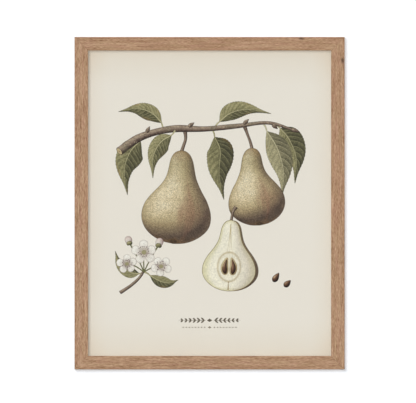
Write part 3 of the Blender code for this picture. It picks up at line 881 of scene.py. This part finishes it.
# The leaves behind the fruit: where on the branch each grows, its midrib from there, its half width, which
# half is lit (1 the left, -1 the right), its right half's width beside its left's, its tone and its colours
LEAVES = (
    (0.20, (-10-10j, -26-27j, -36-56j, -31-98j), 23, -1, 0.8, 0.0, LEAF_TONES),
    (0.30, (-6+12j, -22+28j, -46+35j, -76+30j), 14, -1, 0.8, 0.05, LEAF_TONES),
    (0.535, (5-14j, 14-36j, 12-74j, 20-116j), 21, -1, 1.0, -0.06, LEAF_TONES),
    (0.55, (8+11j, 26+25j, 54+31j, 92+24j), 15, 1, 0.8, 0.05, LEAF_TONES),
    (0.86, (12-8j, 26-25j, 38-56j, 36-98j), 21, -1, 0.85, 0.0, LEAF_TONES),
    (0.80, (7-14j, 24-42j, 34-80j, 31-122j), 19, -1, 1.0, -0.04, PALE_LEAF_TONES),
)


def draw_plate():
    """Pears on the branch, one of them halved, with pips and a twig of blossom."""
    plate = Plate()
    branch = Strip(BRANCH_LINE, BRANCH_HALF_WIDTH, BRANCH_SHAPE)
    for number, (share, steps, half_width, *looks) in enumerate(LEAVES):
        draw_leaf(plate, branch.at(share), steps, half_width, 101 + number, *looks)
    draw_stem(plate, (branch.at(0.70), 62+112j, 67+98j, 70+84j), 2.3)
    draw_stem(plate, (branch.at(0.40), -39+106j, -43+92j, -47+80j), 2.6)
    draw_branch(plate, branch)
    draw_pear(plate, 70+90j, 82-36j, 43, -0.10, 21, freckles=150)
    draw_pear(plate, -47+86j, -59-66j, 52, 0.10, 31, lean=1.03)
    front_leaf = (-6-8j, -24-20j, -36-44j, -36-78j)
    draw_leaf(plate, branch.at(0.35, -0.5), front_leaf, 17, 107, -1, 0.7, 0.08)
    draw_stem(plate, (43-6j, 38-15j, 36-25j, 35-34j), 2.2)
    draw_half_pear(plate, 35-28j, 30-143j, 40, 41)
    for ends, half_width in (((104-128j, 113-114j), 4.4), ((122-136j, 132-126j), 4.2)):
        draw_pip(plate, ends, half_width, (1.25, 1.15, 0.85, 0.45), 9, 18, (38, 27, 23), 0.3)
    draw_sprig(plate)
    draw_ornament(plate)
    return plate


def within(points, outline):
    """The numbers of the points that lie within an outline."""
    x, z, ax, az = points.real, points.imag, outline.real, outline.imag
    near = np.nonzero((x >= ax.min()) & (x <= ax.max()) & (z >= az.min()) & (z <= az.max()))[0]
    x, z = x[near, None], z[near, None]
    bx, bz = np.roll(ax, -1), np.roll(az, -1)
    spans = (az > z) != (bz > z)
    with np.errstate(divide="ignore", invalid="ignore"):
        crossing = ax + (z - az) * (bx - ax) / (bz - az)
    return near[(spans & (x < crossing)).sum(1) % 2 == 1]


def grid_within(outlines):
    """An even triangular grid of points within some outlines."""
    x, z = np.hstack(outlines).real, np.hstack(outlines).imag
    rows = []
    for number, level in enumerate(np.arange(z.min(), z.max(), PLATE_SPACING * math.sqrt(3) / 2)):
        rows.append(np.arange(x.min() + number % 2 * PLATE_SPACING / 2, x.max(), PLATE_SPACING) + 1j * level)
    grid = np.hstack(rows)
    return grid[np.unique(np.hstack([within(grid, outline) for outline in outlines]))]


def cut_along(sheet, plate):
    """The sheet in points and triangles cut along every outline, finer under the shaded inks, and the numbers
    of its corners."""
    outlines = [outline for outline, _, _ in plate.layers]
    shaded = [outline for outline, ink, _ in plate.layers if callable(ink)]
    edges, count = [], len(sheet)
    for outline in outlines:
        ring = np.arange(count, count + len(outline))
        edges.append(np.stack([ring, np.roll(ring, -1)], 1))
        count += len(outline)
    points = np.hstack([sheet, *outlines, grid_within(shaded)])
    places = [Vector((point.real, point.imag)) for point in points]
    places, _, triangles, sources, *_ = delaunay_2d_cdt(places, np.vstack(edges), [], 0, JOIN_DISTANCE, True)
    made_from = {number: index for index, row in enumerate(sources) for number in row}
    corners = [made_from[number] for number in range(len(sheet))]
    return np.array([complex(*place) for place in places]), triangles, corners


def ink_corners(plate, corners):
    """Each triangle corner's topmost ink, as what it multiplies the paper by, and its strength of grain."""
    inks = np.tile(BARE, (*corners.shape, 1))
    middles, bare = corners.mean(1), np.full(len(corners), True)
    for outline, ink, grain in reversed(plate.layers):
        mine = within(middles, outline)
        mine = mine[bare[mine]]
        bare[mine] = False
        if len(mine):
            colours = ink(corners[mine].ravel()).reshape(-1, 3, 3) if callable(ink) else ink
            inks[mine, :, :3] = linear(np.clip(colours, 0, 255)) / linear(PAPER_TONES[0][1])
            inks[mine, :, 3] = grain
    return inks


def print_mesh():
    """The printed sheet, its front cut along the drawing and its sides and back closed."""
    low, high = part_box("print_sheet")
    middle = complex(MIDDLE.x, MIDDLE.z)
    sheet = np.array([low.x, high.x, high.x, low.x]) + 1j * np.array([low.z, low.z, high.z, high.z])
    plate = draw_plate()
    points, triangles, corners = cut_along((sheet - middle) / MM, plate)
    places = points * MM + middle
    front = np.stack([places.real, np.full(len(places), low.y), places.imag], 1)
    back = front[corners] + (0, high.y - low.y, 0)
    last = len(front)
    faces = [*triangles, [last + 3, last + 2, last + 1, last]]
    for number in range(4):
        after = (number + 1) % 4
        faces.append([corners[after], corners[number], last + number, last + after])
    mesh = bpy.data.meshes.new("botanical_print")
    mesh.from_pydata(np.vstack([front, back]).tolist(), [], faces)
    inks = np.tile(BARE, (len(mesh.loops), 1))
    inks[: 3 * len(triangles)] = ink_corners(plate, points[np.array(triangles)]).reshape(-1, 4)
    layer = mesh.color_attributes.new(INK_LAYER, "FLOAT_COLOR", "CORNER")
    layer.data.foreach_set("color", inks.ravel())
    return mesh


# Solids

SMOOTH_ANGLE = math.radians(35)
ROUND_STEPS = 40
ARC_STEPS = 8
STILL = Matrix.Identity(4)


def arc(first, last, steps=ARC_STEPS):
    """The cosines and sines from one angle to another, in degrees."""
    angles = np.radians(np.linspace(first, last, steps + 1))
    return np.stack([np.cos(angles), np.sin(angles)], 1)


def rounded(corners):
    """The points of a closed outline whose corners, each (x, y, radius), are turned into arcs."""
    points = []
    for index, (x, y, radius) in enumerate(corners):
        corner = Vector((x, y))
        if radius == 0:
            points.append(corner)
            continue
        back = (Vector(corners[index - 1][:2]) - corner).normalized()
        ahead = (Vector(corners[(index + 1) % len(corners)][:2]) - corner).normalized()
        half_angle = back.angle(ahead) / 2
        centre = corner + (back + ahead).normalized() * radius / math.sin(half_angle)
        reach = radius / math.tan(half_angle)
        first, last = ((corner + way * reach - centre).normalized() for way in (back, ahead))
        points += [centre + radius * first.slerp(last, step / ARC_STEPS) for step in range(ARC_STEPS + 1)]
    return points


def to_mesh(shape, name):
    bmesh.ops.recalc_face_normals(shape, faces=shape.faces)
    mesh = bpy.data.meshes.new(name)
    shape.to_mesh(mesh)
    shape.free()
    return mesh


def loft(name, rings):
    """A closed solid through rings of equally many points, with a face over each end."""
    shape = bmesh.new()
    loops = [[shape.verts.new(point) for point in ring] for ring in rings]
    for one, other in zip(loops, loops[1:]):
        for index in range(len(one)):
            after = (index + 1) % len(one)
            shape.faces.new((one[index], one[after], other[after], other[index]))
    shape.faces.new(loops[0])
    shape.faces.new(loops[-1])
    return to_mesh(shape, name)


def extruded(name, outline, low, high):
    """A closed solid of an outline in X and Y, from a low Z to a high one."""
    return loft(name, [[(x, y, level) for x, y in outline] for level in (low, high)])


def lathe(name, profile):
    """A closed solid turned about Z, from (radius, height) points whose ends lie on the axis."""
    shape = bmesh.new()
    turns = np.linspace(0, 2 * math.pi, ROUND_STEPS, endpoint=False)
    rings = []
    for radius, height in profile:
        angles = turns if radius > 0 else turns[:1]
        rings.append([shape.verts.new((radius * math.cos(a), radius * math.sin(a), height)) for a in angles])
    for upper, lower in zip(rings, rings[1:]):
        for step in range(ROUND_STEPS):
            after = (step + 1) % ROUND_STEPS
            corners = [upper[step % len(upper)], lower[step % len(lower)],
                       lower[after % len(lower)], upper[after % len(upper)]]
            shape.faces.new(list(dict.fromkeys(corners)))
    return to_mesh(shape, name)


def in_scene(name, data):
    item = bpy.data.objects.new(name, data)
    bpy.context.scene.collection.objects.link(item)
    return item


def carved(mesh, tools):
    """A mesh joined with or cut by others, each (mesh, matrix, operation)."""
    item = in_scene(mesh.name, mesh)
    used = [item]
    for other, matrix, operation in tools:
        tool = in_scene("tool", other)
        tool.matrix_world = matrix
        step = item.modifiers.new("step", "BOOLEAN")
        step.operation = operation
        step.object = tool
        used.append(tool)
    bpy.context.view_layer.update()
    made = bpy.data.meshes.new_from_object(item.evaluated_get(bpy.context.evaluated_depsgraph_get()))
    for helper in used:
        bpy.data.objects.remove(helper, do_unlink=True)
    return made


def softened(mesh, width):
    """A mesh with its sharp edges broken."""
    shape = bmesh.new()
    shape.from_mesh(mesh)
    bmesh.ops.remove_doubles(shape, verts=shape.verts, dist=1e-6)
    sharp = [edge for edge in shape.edges if edge.is_manifold and edge.calc_face_angle() > SMOOTH_ANGLE]
    bmesh.ops.bevel(shape, geom=sharp, offset=width, segments=2, profile=0.5, affect="EDGES",
                    clamp_overlap=True)
    return to_mesh(shape, mesh.name)


def add_piece(node, mesh, material, matrix=STILL, body="frame"):
    """Shows a finer mesh in a CAD node's place."""
    mesh = mesh.copy()
    mesh.transform(matrix)
    mesh.materials.clear()
    mesh.materials.append(material)
    mesh.shade_smooth()
    mesh.set_sharp_from_angle(angle=SMOOTH_ANGLE)
    mesh.name = f"{node}_fine"
    item = in_scene(mesh.name, mesh)
    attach(item, body)
    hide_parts(node)


def dress_node(name, material):
    """Gives a CAD node that keeps its own mesh its finish."""
    for slot in frame["nodes"][name].material_slots:
        slot.material = material


def middle_of(node, depth):
    """The middle of a node's box, seen from the front, at a depth."""
    low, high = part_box(node)
    return Vector(((low.x + high.x) / 2, depth, (low.z + high.z) / 2))


def facing_matrix(place, side_turn, up=1):
    """Carries local +Z to the front (up = 1) or to the wall (up = -1), turned about Y by degrees."""
    turn = Matrix.Rotation(math.radians(side_turn), 4, "Y") @ Matrix.Rotation(math.radians(90 * up), 4, "X")
    return Matrix.Translation(place) @ turn


# The timber

LIP_DEPTH = 6 * MM
REBATE_WIDTH = 6 * MM
OUTER_ARRIS = 0.8 * MM
LIP_ARRIS = 0.5 * MM
BACK_ARRIS = 0.8 * MM
SHELF_ARRIS = 0.4 * MM
MITRE_CLEARANCE = 0.01 * MM


def timber_mesh(name, side_turn, span, half_length):
    """A length of rebated moulding whose ends meet its neighbours' in closed mitres."""
    shelf = TIMBER_FRONT + LIP_DEPTH
    section = rounded([
        (0, TIMBER_FRONT, OUTER_ARRIS),
        (FACE_WIDTH, TIMBER_FRONT, LIP_ARRIS),
        (FACE_WIDTH, shelf, SHELF_ARRIS),
        (FACE_WIDTH - REBATE_WIDTH, shelf, 0),
        (FACE_WIDTH - REBATE_WIDTH, TIMBER_BACK, SHELF_ARRIS),
        (0, TIMBER_BACK, BACK_ARRIS),
    ])
    half = half_length - MITRE_CLEARANCE
    mesh = loft(name, [[(x - span, y, end * (half - x)) for x, y in section] for end in (-1, 1)])
    mesh.transform(Matrix.Translation(MIDDLE) @ Matrix.Rotation(math.radians(side_turn), 4, "Y"))
    return mesh


def make_timber():
    for side, (node, side_turn, span, half_length) in SIDES.items():
        add_piece(node, timber_mesh(node, side_turn, span, half_length), oak(side))


# The fittings

BUTTON_THICKNESS = 1.0 * MM
BUTTON_EDGE = 0.2 * MM
BUTTON_REACH = 20 * MM
BUTTON_PIVOT_RADIUS = 5 * MM
BUTTON_TIP_RADIUS = 3.5 * MM
BUTTON_HOLE_RADIUS = 1.75 * MM
RIB_START = 6.2 * MM
RIB_END = 19.5 * MM
RIB_RADIUS = 1.4 * MM
RIB_TIP_RADIUS = 1.1 * MM
RIB_HEIGHT = 0.7 * MM

SCREW_HEAD_RADIUS = 3.2 * MM
SCREW_HEAD_THICKNESS = 1.2 * MM
SCREW_HEAD_RIM = 0.3 * MM
SCREW_SHANK_RADIUS = 1.4 * MM
SCREW_LENGTH = 9 * MM
SCREW_POINT = 3 * MM
CROSS_LENGTH = 3.6 * MM
CROSS_WIDTH = 0.8 * MM
CROSS_DEPTH = 0.7 * MM

HANGER_THICKNESS = 0.8 * MM
HANGER_TAB = 7.2 * MM
HANGER_STEP = 1.5 * MM
HANGER_BEND = 0.3 * MM
HANGER_EDGE = 0.12 * MM
TOOTH_PITCH = 3 * MM
TOOTH_DEPTH = 2 * MM
TOOTH_TIP = 0.4 * MM
TEETH_EACH_SIDE = 4
NAIL_HEAD_RADIUS = 1.9 * MM
NAIL_HEAD_RIM = 0.3 * MM
NAIL_SHANK_RADIUS = 0.7 * MM
NAIL_POINT = 2 * MM
NAIL_PROUD = 0.05 * MM

PAD_EDGE = 0.6 * MM

WEDGE_LEG = 5.5 * MM
WEDGE_HALF_ANGLE = math.radians(50)
WEDGE_THICKNESS = 0.6 * MM
WEDGE_PROUD = 0.05 * MM
WEDGE_PLACES = {"outer": 7 * MM, "inner": 15 * MM}
CORNERS = {"top_left": (-1, 1), "top_right": (1, 1), "bottom_right": (1, -1), "bottom_left": (-1, -1)}


def link_ring(start_x, start_radius, end_x, end_radius, height):
    """A ring at a height round two circles on the X axis and the straight lines that touch both."""
    lean = math.degrees(math.asin((start_radius - end_radius) / (end_x - start_x)))
    steps = ROUND_STEPS // 2
    far = arc(lean - 90, 90 - lean, steps) * end_radius + (end_x, 0)
    near = arc(90 - lean, 270 + lean, steps) * start_radius + (start_x, 0)
    return [(x, y, height) for x, y in np.vstack([far, near])]


def button_mesh():
    """A turn button about its pivot, pointing to +X, with a pressed rib on its -Z side."""
    half = BUTTON_THICKNESS / 2
    rings = []
    for side, turns in ((-1, arc(90, 0, 3)), (1, arc(0, 90, 3))):
        for out, rise in turns:
            inset = BUTTON_EDGE * (1 - out)
            height = side * (half - BUTTON_EDGE + BUTTON_EDGE * rise)
            radii = BUTTON_PIVOT_RADIUS - inset, BUTTON_TIP_RADIUS - inset
            rings.append(link_ring(0, radii[0], BUTTON_REACH, radii[1], height))
    plate = loft("turn_button", rings)
    ends = ((0, 1), (BUTTON_HOLE_RADIUS, 1), (BUTTON_HOLE_RADIUS, -1), (0, -1))
    hole = lathe("hole", [(radius, end * BUTTON_THICKNESS) for radius, end in ends])
    ribs = [(1, -half + BUTTON_EDGE), *[(out, -half - RIB_HEIGHT * rise) for out, rise in arc(0, 84, 6)]]
    rib = loft("rib", [link_ring(RIB_START, RIB_RADIUS * out, RIB_END, RIB_TIP_RADIUS * out, height)
                       for out, height in ribs])
    return carved(plate, [(rib, STILL, "UNION"), (hole, STILL, "DIFFERENCE")])


def headed(name, head_radius, rim, head_height, shank_radius, length, point):
    """A domed head over a pointed shank, the underside of the head at Z = 0."""
    dome = [(head_radius * across, rim + (head_height - rim) * up) for across, up in arc(90, 0)]
    dome[0] = (0, head_height)
    shank = [(head_radius, 0), (shank_radius, 0), (shank_radius, point - length), (0, -length)]
    return lathe(name, dome + shank)


def screw_mesh():
    """A round-headed screw with a cross in its head, narrower at its bottom."""
    blank = headed("button_screw", SCREW_HEAD_RADIUS, SCREW_HEAD_RIM, SCREW_HEAD_THICKNESS,
                   SCREW_SHANK_RADIUS, SCREW_LENGTH, SCREW_POINT)
    corners = [(x * CROSS_LENGTH / 2, y * CROSS_WIDTH / 2) for x, y in ((-1, -1), (1, -1), (1, 1), (-1, 1))]
    rings = [
        [(x * scale, y * scale, SCREW_HEAD_THICKNESS + rise) for x, y in corners]
        for rise, scale in ((-CROSS_DEPTH, 0.6), (CROSS_DEPTH, 1.4))
    ]
    bar = loft("bar", rings)
    turns = [Matrix.Rotation(math.radians(turn), 4, "Z") for turn in (45, 135)]
    return carved(blank, [(bar, turn, "DIFFERENCE") for turn in turns])


def make_buttons(brass, zinc):
    """A turn button and its screw at each of the joints."""
    button, screw = button_mesh(), screw_mesh()
    for joint in frame["record"]["behaviour"]["joints"]:
        label = joint["name"].removeprefix("turn_")
        side_turn = SIDES[label.split("_")[0]][1]
        pivot = Vector(joint["pos_m"])
        add_piece(f"turn_button_{label}", button, brass, facing_matrix(pivot, side_turn), joint["child"])
        head = Vector((pivot.x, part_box(f"button_screw_{label}")[1].y - SCREW_HEAD_THICKNESS, pivot.z))
        add_piece(f"button_screw_{label}", screw, zinc, facing_matrix(head, side_turn, -1))


def hanger_mesh():
    """The hanger's bent strip with teeth along its lower edge, raised in its middle off its two tabs."""
    low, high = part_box("sawtooth_hanger")
    half = high.x
    bend = half - HANGER_TAB
    front, back = low.y, high.y - HANGER_THICKNESS
    tight, wide = HANGER_BEND, HANGER_BEND + HANGER_THICKNESS / 2
    near = [(-half, front, 0), (-bend, front, wide), (HANGER_STEP - bend, back, tight)]
    near += [(-x, y, radius) for x, y, radius in reversed(near)]
    far = [(x, y + HANGER_THICKNESS, radius and wide + tight - radius) for x, y, radius in reversed(near)]
    strip = extruded("sawtooth_hanger", rounded(near + far), low.z, high.z)
    half_notch = (TOOTH_PITCH - TOOTH_TIP) / 2
    zigzag = []
    for number in range(-TEETH_EACH_SIDE, TEETH_EACH_SIDE + 1):
        middle = number * TOOTH_PITCH
        zigzag += [(middle - half_notch, -TOOTH_DEPTH), (middle, 0), (middle + half_notch, -TOOTH_DEPTH)]
    zigzag += [(zigzag[-1][0], -2 * TOOTH_DEPTH), (zigzag[0][0], -2 * TOOTH_DEPTH)]
    teeth = loft("teeth", [[(x, y, z) for x, z in zigzag] for y in (low.y - MM, high.y + MM)])
    return softened(carved(strip, [(teeth, STILL, "DIFFERENCE")]), HANGER_EDGE)


def make_hanger(zinc):
    """The hanger and the nail through each of its tabs."""
    add_piece("sawtooth_hanger", hanger_mesh(), zinc)
    head_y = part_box("sawtooth_hanger")[0].y + HANGER_THICKNESS + NAIL_PROUD
    for end in ("left", "right"):
        node = f"hanger_nail_{end}"
        low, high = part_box(node)
        nail = headed("nail", NAIL_HEAD_RADIUS, NAIL_HEAD_RIM, high.y - head_y, NAIL_SHANK_RADIUS,
                      head_y - low.y, NAIL_POINT)
        add_piece(node, nail, zinc, facing_matrix(middle_of(node, head_y), 0, -1))


def make_pads(rubber):
    for end in ("left", "right"):
        node = f"wall_pad_{end}"
        low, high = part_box(node)
        radius, height = (high.x - low.x) / 2, high.y - low.y
        edge = [(radius - PAD_EDGE * (1 - out), height - PAD_EDGE * (1 - up)) for up, out in arc(0, 90)]
        pad = lathe("pad", [(0, height), *edge, (radius, 0), (0, 0)])
        add_piece(node, pad, rubber, facing_matrix(middle_of(node, low.y), 0, -1))


def wedge_mesh(depth):
    """A bent strip seen from its edge, its corner at the origin and its legs running to +X."""
    along = Vector((math.cos(WEDGE_HALF_ANGLE), math.sin(WEDGE_HALF_ANGLE)))
    across = Vector((-along.y, along.x)) * WEDGE_THICKNESS / 2
    bend = Vector((WEDGE_THICKNESS / 2 / math.sin(WEDGE_HALF_ANGLE), 0))
    upper = [along * WEDGE_LEG + across, along * WEDGE_LEG - across]
    lower = [Vector((point.x, -point.y)) for point in reversed(upper)]
    return extruded("wedge", [-bend, *upper, bend, *lower], -depth / 2, depth / 2)


def make_wedges(zinc):
    """Two bent wedges across each mitre, their edges flush with the timber's back."""
    for corner, (right, up) in CORNERS.items():
        for rank, distance in WEDGE_PLACES.items():
            node = f"corner_wedge_{corner}_{rank}"
            front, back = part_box(node)[0].y, TIMBER_BACK + WEDGE_PROUD
            step = distance / math.sqrt(2)
            place = Vector((MIDDLE.x + right * (HALF_WIDTH - step), (front + back) / 2,
                            MIDDLE.z + up * (HALF_HEIGHT - step)))
            turn = math.degrees(math.atan2(up, -right))
            add_piece(node, wedge_mesh(back - front), zinc, facing_matrix(place, turn))


def make_object():
    make_timber()
    add_piece("print_sheet", print_mesh(), printed_paper())
    dress_node("glazing", clear_glass())
    dress_node("mount_board", speckled("foam_board", (226, 224, 216), (244, 242, 236), 1.2, (0.75, 0.9)))
    dress_node("backing_board", hardboard())
    brass = speckled("brass_plate", (188, 148, 82), (222, 188, 120), 0.5, (0.28, 0.42), 1.0, 0.004, (8, 1, 1))
    zinc = speckled("zinc_plate", (176, 178, 180), (214, 214, 210), 0.8, (0.28, 0.45), 1.0, 0.004)
    rubber = speckled("pad_rubber", (196, 194, 188), (214, 212, 206), 0.6, (0.6, 0.75))
    make_buttons(brass, zinc)
    make_hanger(zinc)
    make_wedges(zinc)
    make_pads(rubber)


# The room: a wall and a floor that aren't part of the object, the light and the camera

WALL_COLOUR = (0.98, 1.01, 1.05)
WALL_SIZE = 6.0
WALL_BEHIND = 0.0002
FLOOR_BELOW = 1.5
SKY_STRENGTH = 0.24
SKY_SEEN = 0.88
CAMERA_DISTANCE = 2.0

# Each sun: the way its light goes, its irradiance beside that of a full white sky, and its width in degrees
SUNS = {
    "front_soft": ((0.0, 1.0, 0.0), 0.39, 4),
    "key": ((0.36, 1.0, -0.25), 0.42, 31),
    "overhead": ((0.0, -0.06, -1.0), 0.45, 40),
    "back_fill": ((0.45, -1.0, -0.55), 0.50, 35),
    "right_fill": ((-1.0, -0.25, -0.1), 0.22, 40),
    "wall_front": ((0.0, 1.0, 0.0), 0.42, 9),
    "wall_key": ((0.17, 1.0, -0.17), 0.42, 14),
}
UNREFLECTED = ("front_soft",)


def stage_plane(name, place, turn, material):
    """A large plane that the camera sees, and that throws no light or shadow on the object."""
    bpy.ops.mesh.primitive_plane_add(size=WALL_SIZE, location=place, rotation=turn)
    plane = bpy.context.object
    plane.name = name
    plane.data.materials.append(material)
    for ray in ("diffuse", "glossy", "transmission", "shadow"):
        setattr(plane, f"visible_{ray}", False)
    return plane


def wall_paint():
    """Bright matt white, seen from the front only, so that the object's back can be looked at too."""
    wall = Recipe("wall_paint")
    paint = wall.node("BsdfDiffuse", {"Color": (*WALL_COLOUR, 1)})
    behind = wall.node("NewGeometry", output="Backfacing")
    return wall.surface(behind, paint, wall.node("BsdfTransparent"))


def make_room():
    """The floor, and the wall, which is returned."""
    paint = speckled("floor_paint", (232, 230, 226), (242, 240, 236), 30, (0.7, 0.85))
    stage_plane("floor", (0, 0, OUTER_LOW.z - FLOOR_BELOW), (0, 0, 0), paint)
    return stage_plane("wall", (0, WALL_BEHIND, MIDDLE.z), (math.pi / 2, 0, 0), wall_paint())


def share_light(lamp, wall):
    """The wall's own suns fall on it alone, and the others on everything else."""
    receivers = bpy.data.collections.new(f"{lamp.name}_receivers")
    receivers.objects.link(wall)
    state = "INCLUDE" if lamp.name.startswith("wall") else "EXCLUDE"
    receivers.collection_objects[0].light_linking.link_state = state
    lamp.light_linking.receiver_collection = receivers


def light_room(wall):
    """A dim even sky, which the camera sees as a pale backdrop, and soft suns."""
    sky = Recipe("studio", "worlds")
    strength = sky.node("LightPath", output="Is Camera Ray").spread(0, 1, SKY_STRENGTH, SKY_SEEN)
    sky.feed(sky.tree.nodes["Background"], {"Color": (1, 1, 1, 1), "Strength": strength})
    bpy.context.scene.world = sky.owner
    for name, (towards, share, width) in SUNS.items():
        light = bpy.data.lights.new(name, "SUN")
        light.energy = share * math.pi
        light.angle = math.radians(width)
        lamp = in_scene(name, light)
        lamp.visible_glossy = name not in UNREFLECTED
        lamp.rotation_euler = Vector(towards).to_track_quat("-Z", "Y").to_euler()
        share_light(lamp, wall)
    bpy.context.scene.view_settings.view_transform = "Standard"


def place_camera():
    """Straight in front, as wide as the photograph, which is wider than it is high."""
    lens = bpy.data.cameras.new("camera")
    lens.type = "ORTHO"
    lens.ortho_scale = PHOTO_WIDTH * METRES_PER_PIXEL
    camera = in_scene("camera", lens)
    middle_x, middle_z = from_photo(PHOTO_WIDTH / 2, PHOTO_HEIGHT / 2)
    camera.location = (middle_x, -CAMERA_DISTANCE, middle_z)
    camera.rotation_euler = (math.pi / 2, 0, 0)
    bpy.context.scene.camera = camera


make_object()
light_room(make_room())
place_camera()
